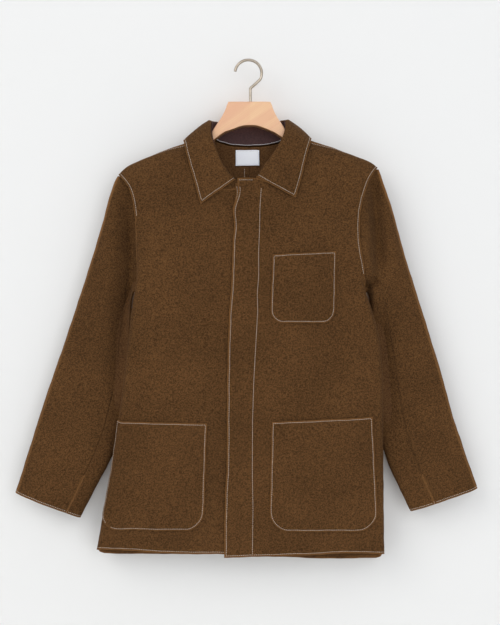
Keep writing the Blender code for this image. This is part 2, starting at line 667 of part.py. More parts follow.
def neck_edge(side):
    """The corners of the neck edge on the walls' inner faces, and the way into the neck hole at each."""
    outer, inner = [], []
    for face in FACES:
        reach, drop = neck_places(face, side)
        height = shoulder_line(SIDES[side] * reach) - below_shoulder(drop)
        sink = fly_sink(SIDES[side] * reach, height) if side == "right" and face == "front" else 0 * reach
        edges = [moved_in(face, side, reach, drop, sink), moved_in(face, side, reach, drop, sink + WALL)]
        if face == "back":
            edges = [edge[-2::-1] for edge in edges]
        outer.append(edges[0])
        inner.append(edges[1])
    outer, inner = np.vstack(outer), np.vstack(inner)
    along = np.gradient(outer, axis=0)
    inward = unit(np.cross(outer - inner, along))
    inward = inward * np.where(inward[:, :1] * SIDES[side] > 0, -1, 1)
    inward[-1] = unit(inward[-2] * np.array([0, 1, 1]))
    return inner, inward


def collar_section(side, share, seam, inward):
    """One section of the collar: up the stand, over the roll and down the leaf. Its outer face looks into the neck."""
    rows = COLLAR[side]
    sign = SIDES[side]
    roll = np.array([sign * table(rows, "roll_x", share), table(rows, "roll_y", share), table(rows, "roll_z", share)])
    edge = np.array([sign * table(rows, "edge_x", share), table(rows, "edge_y", share), table(rows, "edge_z", share)])
    fall = math.radians(float(table(rows, "fall", share)))
    out = np.array([sign * math.cos(fall), math.sin(fall), 0])
    leaf = edge - roll
    up = -unit(leaf - out * (leaf @ out))
    seam = seam + inward * (2 * SEAM_GAP + WALL)
    centre = roll - up * ROLL_RADIUS
    rising, falling = unit(roll - seam), unit(edge - roll)
    first = math.atan2(rising @ out, rising @ up)
    last = math.atan2(falling @ out, falling @ up)
    bends = np.linspace(max(first, LOWEST_BEND), last, BENDS)
    cap = [centre - out * ROLL_RADIUS * math.cos(bend) + up * ROLL_RADIUS * math.sin(bend) for bend in bends]
    stand_top, leaf_top = cap[0], cap[-1]
    points = [seam, *(seam + (stand_top - seam) * step for step in STAND_SHARES), *cap[:-1]]
    bow = float(table(rows, "bow", share))
    for step in np.linspace(0, 1, LEAF_STEPS):
        points.append(leaf_top + (edge - leaf_top) * step + (out + up) * 0.5 * bow * math.sin(math.pi * step))
    return points


def collar_grid():
    """The collar's sections: one at each corner of the neck edge and one between each two."""
    halves = []
    for side in SIDES:
        seams, inward = neck_edge(side)
        lengths = np.linalg.norm(np.diff(seams, axis=0), axis=1)
        shares = np.concatenate([[0], np.cumsum(lengths)]) / lengths.sum()
        sections = []
        for i, share in enumerate(shares):
            sections.append(collar_section(side, share, seams[i], inward[i]))
            if i + 1 < len(shares):
                middle = (share + shares[i + 1]) / 2, (seams[i] + seams[i + 1]) / 2
                sections.append(collar_section(side, *middle, unit(inward[i] + inward[i + 1])))
        halves.append(sections)
    left, right = halves
    return np.array(left + right[-2::-1])


def make_collar(colours, collection):
    grid = collar_grid()
    normals = grid_normals(grid, closed=False)
    centre_back = len(grid) // 2
    if normals[centre_back, 0, 1] > 0:
        normals = -normals
    wall("collar", grid, grid - normals * WALL, colours["wool"], collection)
    band, way = grid[BAND_START:-BAND_START, :4], normals[BAND_START:-BAND_START, :4]
    near, far = band + way * BAND_GAP, band + way * (BAND_GAP + BAND_WALL)
    wall("collar_stand", far, near, colours["felt"], collection)


def make_fronts(colour, collection):
    edges = {"left": upper_edge, "right": lambda height: -(upper_edge(height) + UNDERLAP)}
    for side in SIDES:
        reach, drop = panel("front", side, edges[side])
        outer, inner = front_wall(side, reach, drop)
        wall(f"front_{side}", outer, inner, colour, collection)


def make_backs(colour, collection):
    for side in SIDES:
        reach, drop = panel("back", side, lambda height: HALF_GAP)
        outer = sheet_point("back", side, reach, drop)
        inner = moved_in("back", side, reach, drop, np.full(reach.shape, WALL))
        wall(f"back_{side}", outer, inner, colour, collection)


def make_fly_strip(colour, collection):
    """A strip behind the upper front's edge."""
    heights = np.linspace(STRIP_BOTTOM, STRIP_TOP, 22)
    near = table(FRONT_EDGES, "strip", heights)
    reach = near[:, None] + np.array([0, 1 / 3, 2 / 3, 1]) * FLY_WIDTH
    drop = drop_at(shoulder_line(reach) - heights[:, None])
    inset = WALL + 1.5 * SEAM_GAP
    outer = moved_in("front", "left", reach, drop, np.full(reach.shape, inset))
    inner = moved_in("front", "left", reach, drop, np.full(reach.shape, inset + STRIP_WALL))
    wall("fly_strip", outer, inner, colour, collection)


def pocket_row(side, near, far, cut, height):
    """One row's reaches: even across the flat, with the last few round the body's corner."""
    start = float(side_wall(side, height)[0])
    near, far = near + cut, min(far, start + POCKET_WRAP) - cut
    turn = max(far - start, 0) if far > start else (far - near) * POCKET_ROUND / (POCKET_FLAT + POCKET_ROUND - 1)
    return np.concatenate([
        np.linspace(near, far - turn, POCKET_FLAT),
        far - turn * np.linspace(1, 0, POCKET_ROUND + 1)[1:],
    ])


def make_pockets(colour, collection):
    across = np.linspace(0, 1, POCKET_FLAT + POCKET_ROUND)
    for row in POCKETS:
        reach, height = [], []
        low = row.bottom + row.radius
        for share in np.linspace(0, 1, POCKET_ROWS):
            near = row.near + (row.near_low - row.near) * share
            far = row.far + (row.far_low - row.far) * share
            top = row.near_top + (row.far_top - row.near_top) * across
            height.append(top + (low - top) * share)
            reach.append(pocket_row(row.side, near, far, 0, height[-1].mean()))
        for turn in POCKET_ARC:
            height.append(np.full(across.shape, low - row.radius * math.sin(turn)))
            cut = row.radius * (1 - math.cos(turn))
            reach.append(pocket_row(row.side, row.near_low, row.far_low, cut, height[-1][0]))
        reach, height = np.array(reach), np.array(height)
        drop = drop_at(shoulder_line(SIDES[row.side] * reach) - height)
        fade = ease(1 - np.linspace(0, GAPE_FADE, len(reach)))[:, None]
        gape = POCKET_GAPE * np.sin(math.pi * across) * fade
        sink = fly_sink(SIDES[row.side] * reach, height) if row.side == "right" else 0
        outer = moved_in("front", row.side, reach, drop, sink - gape - PATCH_GAP - PATCH_WALL)
        inner = moved_in("front", row.side, reach, drop, sink - gape - PATCH_GAP)
        wall(row.name, outer, inner, colour, collection)


def make_label(colour, collection):
    """A blank label on the back's inner face, across the centre-back seam."""
    x = np.linspace(LABEL_LEFT, LABEL_RIGHT, 5)
    height = np.linspace(LABEL_TOP, LABEL_BOTTOM, 4)[:, None]
    drop = drop_at(shoulder_line(x) - height)
    reach = np.abs(x) + 0 * height
    points = []
    for inset in (WALL + LABEL_GAP, WALL + LABEL_GAP + LABEL_WALL):
        grid = moved_in("back", "left", reach, drop, np.full(reach.shape, inset))
        grid[..., 0] = x
        points.append(grid)
    wall("label", points[1], points[0], colour, collection)


def make_hanger(colour, collection, cutters):
    """The wooden hanger, lofted through rounded sections, with a blind bore for the hook."""
    reaches = [row.reach for row in WOOD]
    xs = [-r for r in reaches[:0:-1]] + reaches
    sections = []
    for x in xs:
        at = abs(x)
        top, bottom, half = (float(table(WOOD, c, at)) for c in ("top", "bottom", "half"))
        radius = min(WOOD_ROUND, 0.48 * (top - bottom), 0.75 * half)
        section = []
        for cy, cz, first in (
            (half - radius, top - radius, 0),
            (-half + radius, top - radius, 90),
            (-half + radius, bottom + radius, 180),
            (half - radius, bottom + radius, 270),
        ):
            for degrees in (0, 30, 60, 90):
                turn = math.radians(first + degrees)
                section.append(Vector((x, cy + radius * math.cos(turn), cz + radius * math.sin(turn))))
        sections.append(section)
    build = bmesh.new()
    rows = [[build.verts.new(point) for point in section] for section in sections]
    for one, two in zip(rows, rows[1:]):
        for i in range(len(one)):
            k = (i + 1) % len(one)
            build.faces.new((one[i], one[k], two[k], two[i]))
    build.faces.new(rows[0])
    build.faces.new(rows[-1])
    bmesh.ops.recalc_face_normals(build, faces=build.faces)
    mesh = bpy.data.meshes.new("hanger")
    build.to_mesh(mesh)
    build.free()
    hanger = piece("hanger", mesh, colour, collection)

    top = WOOD[0].top
    bpy.ops.mesh.primitive_cylinder_add(
        vertices=16, radius=WIRE + SEAM_GAP, depth=2 * SOCKET_DEPTH, location=(HOOK_X, 0, top)
    )
    bore = bpy.context.object
    bore.name = "hook_bore"
    bore.hide_render = True
    bore.display_type = "WIRE"
    for home in list(bore.users_collection):
        home.objects.unlink(bore)
    cutters.objects.link(bore)
    cut = hanger.modifiers.new("bore", "BOOLEAN")
    cut.operation = "DIFFERENCE"
    cut.solver = "EXACT"
    cut.object = bore


def hook_path():
    """The wire's centre line, from its free tip round the crook, back under it and down into the wood."""
    centre = Vector((CROOK_X, 0, WIRE - HOOK_RADIUS))
    points = []
    for turn in np.radians(np.linspace(*CROOK_TURNS)):
        points.append(centre + Vector((math.cos(turn), 0, math.sin(turn))) * HOOK_RADIUS)
    leaving = points[-1]
    top, low = Vector((HOOK_X, 0, HOOK_NECK_TOP)), Vector((HOOK_X, 0, WOOD[0].top - SOCKET_DEPTH + 0.001))
    for share in (0.35, 0.7):
        points.append(leaving.lerp(top + Vector((0.0035, 0, 0.0035)), share))
    points.append(top + Vector((0.0016, 0, 0.0026)))
    points.append(top)
    points.append(top + Vector((0, 0, -0.0040)))
    points.append(low)
    return points


def make_hook(colour, collection):
    curve = bpy.data.curves.new("hook", "CURVE")
    curve.dimensions = "3D"
    curve.bevel_depth = WIRE
    curve.bevel_resolution = 2
    curve.use_fill_caps = True
    path = hook_path()
    spline = curve.splines.new("POLY")
    spline.points.add(len(path) - 1)
    for point, place in zip(spline.points, path):
        point.co = (*place, 1)
    carrier = bpy.data.objects.new("hook_curve", curve)
    collection.objects.link(carrier)
    bpy.context.view_layer.update()
    shape = bpy.data.meshes.new_from_object(carrier.evaluated_get(bpy.context.evaluated_depsgraph_get()))
    bpy.data.objects.remove(carrier)
    build = bmesh.new()
    build.from_mesh(shape)
    bmesh.ops.remove_doubles(build, verts=build.verts, dist=MERGE)
    build.to_mesh(shape)
    build.free()
    shape.name = "hook"
    shape.materials.clear()
    piece("hook", shape, colour, collection)


def materials():
    made = {}
    for name, (colour, roughness, metallic) in COLOURS.items():
        material = bpy.data.materials.new(name)
        material.use_nodes = True
        shader = material.node_tree.nodes["Principled BSDF"]
        shader.inputs["Base Color"].default_value = (*colour, 1)
        shader.inputs["Roughness"].default_value = roughness
        shader.inputs["Metallic"].default_value = metallic
        made[name] = material
    return made


def main():
    for obj in list(bpy.data.objects):
        bpy.data.objects.remove(obj)
    blazer = bpy.data.collections.new("blazer_on_hanger")
    cutters = bpy.data.collections.new("cutters")
    for collection in (blazer, cutters):
        bpy.context.scene.collection.children.link(collection)
    colours = materials()
    make_fronts(colours["wool"], blazer)
    make_fly_strip(colours["wool"], blazer)
    make_backs(colours["wool"], blazer)
    for side in SIDES:
        make_sleeve(side, colours["wool"], blazer)
    make_collar(colours, blazer)
    make_pockets(colours["wool"], blazer)
    make_label(colours["satin"], blazer)
    make_hanger(colours["maple"], blazer, cutters)
    make_hook(colours["nickel"], blazer)


main()
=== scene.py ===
import math

import bmesh
import bpy
import numpy as np
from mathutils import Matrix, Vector
from mathutils.bvhtree import BVHTree
from mathutils.kdtree import KDTree


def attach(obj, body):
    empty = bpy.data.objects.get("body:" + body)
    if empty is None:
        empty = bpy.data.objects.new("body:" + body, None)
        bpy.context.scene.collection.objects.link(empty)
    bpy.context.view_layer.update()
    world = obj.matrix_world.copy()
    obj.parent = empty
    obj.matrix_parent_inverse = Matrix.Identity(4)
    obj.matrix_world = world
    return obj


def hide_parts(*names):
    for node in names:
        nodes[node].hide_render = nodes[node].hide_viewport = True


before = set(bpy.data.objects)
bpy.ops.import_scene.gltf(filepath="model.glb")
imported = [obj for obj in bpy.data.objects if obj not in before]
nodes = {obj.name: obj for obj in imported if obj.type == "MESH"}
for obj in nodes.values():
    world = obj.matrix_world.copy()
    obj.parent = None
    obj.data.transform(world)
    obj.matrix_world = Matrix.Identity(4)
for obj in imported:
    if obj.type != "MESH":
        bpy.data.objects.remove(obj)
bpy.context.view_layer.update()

# A raw-edged boiled-wool blazer on a wooden hanger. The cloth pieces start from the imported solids' own
# forms, are smoothed, and get their creases, stitches and wool here. The hanger and hook keep their form.

scene = bpy.context.scene

# Camera, light and backdrop

photoSet = {"metresPerPixel": 0.00185, "halfHeightPixels": 312.5}
cameraSet = {
    "x": 0.0011, "z": -0.4646, "away": 2.1,
    "halfHeight": photoSet["halfHeightPixels"] * photoSet["metresPerPixel"],
}
lightSet = {
    "key": {
        "place": (-3.4, -3.9, 2.3), "aim": (0.25, 0.0, -0.45),
        "size": 3.8, "power": 110, "colour": (1.0, 0.985, 0.955),
    },
    "fill": {
        "place": (1.2, -4.0, 0.3), "aim": (0.0, 0.0, -0.45),
        "size": 3.4, "power": 62, "colour": (0.97, 0.985, 1.0),
    },
    "back": {
        "place": (0.6, 2.4, 1.2), "aim": (0.0, 0.0, -0.4),
        "size": 2.2, "power": 65, "colour": (1.0, 1.0, 1.0),
    },
}
worldSet = {"colour": (0.93, 0.95, 1.0), "strength": 0.68}
stageSet = {
    "wallY": 0.047, "reach": 3.0, "floorZ": -1.35, "roughness": 0.95,
    "wallColour": (0.755, 0.752, 0.738), "floorColour": (0.79, 0.79, 0.78),
}


def makeCamera():
    data = bpy.data.cameras.new("camera")
    data.sensor_fit = "VERTICAL"
    data.angle = 2 * math.atan(cameraSet["halfHeight"] / cameraSet["away"])
    camera = bpy.data.objects.new("camera", data)
    camera.location = (cameraSet["x"], -cameraSet["away"], cameraSet["z"])
    camera.rotation_euler = (math.pi / 2, 0, 0)
    scene.collection.objects.link(camera)
    scene.camera = camera


def makeLights():
    for name, facts in lightSet.items():
        data = bpy.data.lights.new(name, "AREA")
        data.size = facts["size"]
        data.energy = facts["power"]
        data.color = facts["colour"]
        lamp = bpy.data.objects.new(name, data)
        lamp.location = facts["place"]
        lamp.rotation_euler = (Vector(facts["aim"]) - lamp.location).to_track_quat("-Z", "Y").to_euler()
        scene.collection.objects.link(lamp)
    world = bpy.data.worlds.new("studio")
    world.use_nodes = True
    background = world.node_tree.nodes["Background"]
    background.inputs["Color"].default_value = (*worldSet["colour"], 1)
    background.inputs["Strength"].default_value = worldSet["strength"]
    scene.world = world
    scene.view_settings.view_transform = "Standard"


def clearFromBehind(tree, shader):  # the wall lets light and views from behind reach the coat's back
    clear = tree.nodes.new("ShaderNodeBsdfTransparent")
    facing = tree.nodes.new("ShaderNodeNewGeometry")
    ray = tree.nodes.new("ShaderNodeLightPath")
    either = tree.nodes.new("ShaderNodeMath")
    either.operation = "MAXIMUM"
    mix = tree.nodes.new("ShaderNodeMixShader")
    tree.links.new(facing.outputs["Backfacing"], either.inputs[0])
    tree.links.new(ray.outputs["Is Shadow Ray"], either.inputs[1])
    tree.links.new(either.outputs[0], mix.inputs["Fac"])
    tree.links.new(shader.outputs["BSDF"], mix.inputs[1])
    tree.links.new(clear.outputs["BSDF"], mix.inputs[2])
    tree.links.new(mix.outputs["Shader"], tree.nodes["Material Output"].inputs["Surface"])


def makeStage():
    reach, wallY, floorZ = stageSet["reach"], stageSet["wallY"], stageSet["floorZ"]
    wall = [(-reach, wallY, floorZ), (reach, wallY, floorZ), (reach, wallY, reach), (-reach, wallY, reach)]
    floor = [(x, y, floorZ) for x, y in ((-reach, -reach), (reach, -reach), (reach, reach), (-reach, reach))]
    for name, corners, colour in (("backWall", wall, "wallColour"), ("floor", floor, "floorColour")):
        mesh = bpy.data.meshes.new(name)
        mesh.from_pydata(corners, [], [(0, 1, 2, 3)])
        plane = bpy.data.objects.new(name, mesh)
        material = bpy.data.materials.new(name)
        material.use_nodes = True
        shader = material.node_tree.nodes["Principled BSDF"]
        shader.inputs["Base Color"].default_value = (*stageSet[colour], 1)
        shader.inputs["Roughness"].default_value = stageSet["roughness"]
        if name == "backWall":
            clearFromBehind(material.node_tree, shader)
        mesh.materials.append(material)
        scene.collection.objects.link(plane)


makeCamera()
makeLights()
makeStage()
print("camera, lights and backdrop ready")

# Helpers for shader and geometry nodes


def place(tree, kind, links=(), **settings):  # a node with its settings, and its inputs linked or set
    node = tree.nodes.new(kind)
    for key, value in settings.items():
        setattr(node, key, value)
    for socket, value in links:
        if isinstance(value, bpy.types.NodeSocket):
            tree.links.new(value, node.inputs[socket])
        else:
            node.inputs[socket].default_value = value
    return node


def mixColour(tree, share, first, second, blend="MIX"):
    node = place(tree, "ShaderNodeMix", data_type="RGBA", blend_type=blend)
    for socket, value in (("Factor", share), ("A", first), ("B", second)):
        target = next(s for s in node.inputs if s.name == socket and s.enabled)
        if isinstance(value, bpy.types.NodeSocket):
            tree.links.new(value, target)
        else:
            target.default_value = value if socket == "Factor" else (*value, 1)
    return next(s for s in node.outputs if s.enabled)


def remap(tree, value, low, high, toLow=0.0, toHigh=1.0):
    spans = [("Value", value), ("From Min", low), ("From Max", high), ("To Min", toLow), ("To Max", toHigh)]
    return place(tree, "ShaderNodeMapRange", spans).outputs["Result"]


def mapped(tree, vector, turn=(0.0, 0.0, 0.0), stretch=(1.0, 1.0, 1.0)):
    links = [("Vector", vector), ("Rotation", turn), ("Scale", stretch)]
    return place(tree, "ShaderNodeMapping", links).outputs[0]


def noise(tree, vector, scale, detail=2.0, roughness=0.5):
    links = [("Vector", vector), ("Scale", scale), ("Detail", detail), ("Roughness", roughness)]
    return place(tree, "ShaderNodeTexNoise", links).outputs


def waves(tree, vector, direction, scale, distortion, detail=2.0, detailScale=1.0):
    links = [("Vector", vector), ("Scale", scale), ("Distortion", distortion)]
    links += [("Detail", detail), ("Detail Scale", detailScale)]
    return place(tree, "ShaderNodeTexWave", links, bands_direction=direction).outputs["Fac"]


def combined(tree, operation, first, second):
    return place(tree, "ShaderNodeMath", [(0, first), (1, second)], operation=operation).outputs[0]


def relief(tree, shader, height, strength, distance):
    bump = place(tree, "ShaderNodeBump", [("Height", height), ("Strength", strength), ("Distance", distance)])
    tree.links.new(bump.outputs[0], shader.inputs["Normal"])


def startMaterial(name):
    material = bpy.data.materials.new(name)
    material.use_nodes = True
    tree = material.node_tree
    coords = tree.nodes.new("ShaderNodeTexCoord").outputs["Object"]
    return material, tree, tree.nodes["Principled BSDF"], coords


# Felted fibre, shared by the wool and the collar's felt: crossed strands, small clumps and broad mottling

feltSet = {
    "inputs": {"Strand Scale": 760.0, "Clump Scale": 400.0, "Mottle Scale": 9.0},
    "outputs": ("Strands", "Clumps", "Mottle", "Height"),
    "warpScale": 180.0, "warpReach": 0.004,
    "strands": [{"turn": 0.65, "stretch": 0.22}, {"turn": -0.45, "stretch": 0.34}],
}


def makeFeltGroup():
    group = bpy.data.node_groups.new("feltedFibre", "ShaderNodeTree")
    group.interface.new_socket("Vector", in_out="INPUT", socket_type="NodeSocketVector")
    for label, scale in feltSet["inputs"].items():
        group.interface.new_socket(label, in_out="INPUT", socket_type="NodeSocketFloat").default_value = scale
    for label in feltSet["outputs"]:
        group.interface.new_socket(label, in_out="OUTPUT", socket_type="NodeSocketFloat")
    given, result = group.nodes.new("NodeGroupInput"), group.nodes.new("NodeGroupOutput")
    vector = given.outputs["Vector"]
    warp = noise(group, vector, feltSet["warpScale"])["Color"]
    bent = [(0, warp), (1, (feltSet["warpReach"],) * 3)]
    bent = place(group, "ShaderNodeVectorMath", bent, operation="MULTIPLY").outputs[0]
    moved = place(group, "ShaderNodeVectorMath", [(0, vector), (1, bent)], operation="ADD").outputs[0]
    strands = []
    for strand in feltSet["strands"]:
        turned = mapped(group, moved, turn=(0.2, strand["turn"], 0.3))
        drawn = mapped(group, turned, stretch=(strand["stretch"], 1.0, 1.0))
        strands.append(noise(group, drawn, given.outputs["Strand Scale"], 3.0, 0.65)["Fac"])
    crossed = combined(group, "MAXIMUM", *strands)
    clumps = noise(group, moved, given.outputs["Clump Scale"], 4.0, 0.6)["Fac"]
    mottle = noise(group, vector, given.outputs["Mottle Scale"], 3.0)["Fac"]
    height = combined(group, "ADD", crossed, clumps)
    for label, socket in zip(feltSet["outputs"], (crossed, clumps, mottle, height)):
        group.links.new(socket, result.inputs[label])
    return group


feltedFibre = makeFeltGroup()


def feltIn(tree, coords):
    felt = place(tree, "ShaderNodeGroup", node_tree=feltedFibre)
    tree.links.new(coords, felt.inputs["Vector"])
    return felt


# Boiled wool: the outer face, the inner face, the warmer colour of a cut edge, and a painted sheen in that
# warmer colour at grazing angles and along the sleeves' outer folds

woolSet = {
    "outer": {
        "dark": (0.042, 0.0190, 0.0068), "body": (0.098, 0.0450, 0.0152),
        "light": (0.176, 0.0890, 0.0320),
    },
    "inner": {
        "dark": (0.060, 0.0275, 0.0110), "body": (0.112, 0.0520, 0.0195),
        "light": (0.180, 0.0930, 0.0380),
    },
    # the warmer edge colour serves the cut edges and also the painted sheen at grazing angles and on the
    # sleeves' outer folds
    "rawEdgeAndSheen": (0.215, 0.1000, 0.0340), "roughness": 0.95, "specular": 0.05,
    "sheen": 0.03, "sheenRoughness": 0.6, "sheenTint": (0.85, 0.62, 0.42),
    "bump": 0.9, "bumpDistance": 0.0012,
}


def makeWool(name, shades):  # the edge attribute is 1 on a cut edge and 0 on the face; on the sleeves it also holds a painted highlight along the outer folds
    material, tree, shader, coords = startMaterial(name)
    felt = feltIn(tree, coords)
    clumps = felt.outputs["Clumps"]
    base = mixColour(tree, remap(tree, clumps, 0.42, 0.58), shades["dark"], shades["body"])
    strand = remap(tree, felt.outputs["Strands"], 0.52, 0.72, 0.0, 0.62)
    base = mixColour(tree, strand, base, shades["light"])
    mottle = remap(tree, felt.outputs["Mottle"], 0.35, 0.65, 0.90, 1.10)
    shade = place(tree, "ShaderNodeCombineColor", [(0, mottle), (1, mottle), (2, mottle)])
    base = mixColour(tree, 1.0, base, shade.outputs[0], "MULTIPLY")
    edge = place(tree, "ShaderNodeAttribute", attribute_name="rawEdgeAndSheen").outputs["Fac"]
    ragged = combined(tree, "MULTIPLY", edge, remap(tree, clumps, 0.3, 0.7, 0.55, 1.0))
    base = mixColour(tree, ragged, base, woolSet["rawEdgeAndSheen"])
    # painted sheen: towards the silhouettes the colour is mixed towards the warmer edge colour, a painted
    # highlight
    paintedSheenFacing = place(tree, "ShaderNodeLayerWeight", [("Blend", 0.5)]).outputs["Facing"]
    base = mixColour(tree, remap(tree, paintedSheenFacing, 0.78, 1.0, 0.0, 0.85), base, woolSet["rawEdgeAndSheen"])
    tree.links.new(base, shader.inputs["Base Color"])
    shader.inputs["Roughness"].default_value = woolSet["roughness"]
    shader.inputs["Specular IOR Level"].default_value = woolSet["specular"]
    shader.inputs["Sheen Weight"].default_value = woolSet["sheen"]
    shader.inputs["Sheen Roughness"].default_value = woolSet["sheenRoughness"]
    shader.inputs["Sheen Tint"].default_value = (*woolSet["sheenTint"], 1)
    relief(tree, shader, felt.outputs["Height"], woolSet["bump"], woolSet["bumpDistance"])
    return material


# The maroon-brown felt inside the collar, with fine close ribs

collarFeltSet = {
    "dark": (0.030, 0.0120, 0.0120), "body": (0.062, 0.0260, 0.0255), "rib": (0.085, 0.040, 0.038),
    "clumpScale": 420.0, "ribScale": 130.0, "roughness": 0.9,
}


def makeCollarFelt():
    material, tree, shader, coords = startMaterial("collarFelt")
    felt = feltIn(tree, coords)
    felt.inputs["Clump Scale"].default_value = collarFeltSet["clumpScale"]
    ribs = waves(tree, coords, "X", collarFeltSet["ribScale"], 1.2, 1.0)
    clumps = remap(tree, felt.outputs["Clumps"], 0.35, 0.65)
    base = mixColour(tree, clumps, collarFeltSet["dark"], collarFeltSet["body"])
    base = mixColour(tree, remap(tree, ribs, 0.0, 1.0, 0.0, 0.25), base, collarFeltSet["rib"])
    tree.links.new(base, shader.inputs["Base Color"])
    shader.inputs["Roughness"].default_value = collarFeltSet["roughness"]
    relief(tree, shader, ribs, 0.4, 0.0006)
    return material


# A bright woven label: fine crosswise ribs and a slight shine

satinSet = {
    "low": (0.86, 0.88, 0.93), "high": (0.97, 0.98, 1.0),
    "ribScale": 380.0, "weftScale": 260.0, "roughness": 0.45,
}


def makeLabelSatin():
    material, tree, shader, coords = startMaterial("labelSatin")
    ribs = waves(tree, coords, "Z", satinSet["ribScale"], 0.6, 1.0)
    weft = waves(tree, coords, "X", satinSet["weftScale"], 0.4)
    weave = combined(tree, "MULTIPLY", ribs, weft)
    tree.links.new(mixColour(tree, weave, satinSet["low"], satinSet["high"]), shader.inputs["Base Color"])
    shader.inputs["Roughness"].default_value = satinSet["roughness"]
    relief(tree, shader, weave, 0.25, 0.0003)
    return material


# Twisted sewing thread

threadSet = {
    "threadPale": {"pale": (0.66, 0.56, 0.46), "deep": (0.45, 0.35, 0.26)},
    "threadWhite": {"pale": (0.72, 0.70, 0.70), "deep": (0.50, 0.47, 0.47)},
    "twistScale": 900.0, "roughness": 0.6, "sheen": 0.2,
}


def makeThread(name):
    material, tree, shader, coords = startMaterial(name)
    twist = remap(tree, noise(tree, coords, threadSet["twistScale"])["Fac"], 0.35, 0.65)
    base = mixColour(tree, twist, threadSet[name]["deep"], threadSet[name]["pale"])
    tree.links.new(base, shader.inputs["Base Color"])
    shader.inputs["Roughness"].default_value = threadSet["roughness"]
    shader.inputs["Sheen Weight"].default_value = threadSet["sheen"]
    return material


# Pale maple with fine slanting grain, pores, painted shade on the downward-facing underside and a satin coat

mapleSet = {
    "pale": (0.745, 0.475, 0.265), "deep": (0.480, 0.235, 0.105), "pink": (0.655, 0.345, 0.205),
    # the deep brown under colour is painted shade for the downward-facing wood
    "pore": (0.50, 0.27, 0.13), "under": (0.170, 0.075, 0.026),
    "grainTurn": 0.60, "grainStretch": (5.0, 60.0, 95.0), "poreStretch": (60.0, 900.0, 1100.0),
    "halves": (0.0008, 0.0014), "coat": 0.12, "coatRoughness": 0.35,
}


def makeMaple():
    material, tree, shader, coords = startMaterial("mapleWood")
    slanted = mapped(tree, coords, turn=(0.0, mapleSet["grainTurn"], 0.0))
    drawn = mapped(tree, slanted, stretch=mapleSet["grainStretch"])
    streaks = noise(tree, drawn, 1.4, 3.0)["Fac"]
    bands = waves(tree, drawn, "Z", 1.1, 5.0, 3.0, 1.6)
    pores = noise(tree, mapped(tree, slanted, stretch=mapleSet["poreStretch"]), 1.0)["Fac"]
    base = mixColour(tree, remap(tree, bands, 0.15, 0.95, 0.0, 0.22), mapleSet["pale"], mapleSet["deep"])
    base = mixColour(tree, remap(tree, streaks, 0.32, 0.68, 0.0, 0.8), base, mapleSet["pink"])
    base = mixColour(tree, remap(tree, pores, 0.60, 0.75, 0.0, 0.30), base, mapleSet["pore"])
    across = place(tree, "ShaderNodeSeparateXYZ", [(0, coords)]).outputs["X"]
    half = remap(tree, across, *mapleSet["halves"], 0.30, 0.0)  # one half of the wood is pinker
    base = mixColour(tree, half, base, mapleSet["pink"])
    # painted shade: the wood is darkened to a deep brown where it faces downward
    under = place(tree, "ShaderNodeAttribute", attribute_name="undersideShade").outputs["Fac"]
    tree.links.new(mixColour(tree, under, base, mapleSet["under"]), shader.inputs["Base Color"])
    tree.links.new(remap(tree, pores, 0.3, 0.7, 0.36, 0.50), shader.inputs["Roughness"])
    shader.inputs["Coat Weight"].default_value = mapleSet["coat"]
    shader.inputs["Coat Roughness"].default_value = mapleSet["coatRoughness"]
    relief(tree, shader, pores, 0.12, 0.0004)
    return material


# Satin nickel wire with faint drawing marks

nickelSet = {"dark": (0.33, 0.28, 0.22), "light": (0.47, 0.41, 0.34), "markScale": 600.0, "cloudScale": 60.0}


def makeNickel():
    material, tree, shader, coords = startMaterial("satinNickel")
    marks = noise(tree, coords, nickelSet["markScale"], 3.0)["Fac"]
    cloud = remap(tree, noise(tree, coords, nickelSet["cloudScale"])["Fac"], 0.35, 0.65)
    tree.links.new(mixColour(tree, cloud, nickelSet["dark"], nickelSet["light"]), shader.inputs["Base Color"])
    shader.inputs["Metallic"].default_value = 1.0
    tree.links.new(remap(tree, marks, 0.3, 0.7, 0.24, 0.42), shader.inputs["Roughness"])
    relief(tree, shader, marks, 0.06, 0.0003)
    return material


woolOuter = makeWool("boiledWool", woolSet["outer"])
woolInner = makeWool("boiledWoolInside", woolSet["inner"])
collarFelt = makeCollarFelt()
labelSatin = makeLabelSatin()
threadPale = makeThread("threadPale")
threadWhite = makeThread("threadWhite")
mapleWood = makeMaple()
satinNickel = makeNickel()
print("materials ready")

# Folds in the hanging cloth

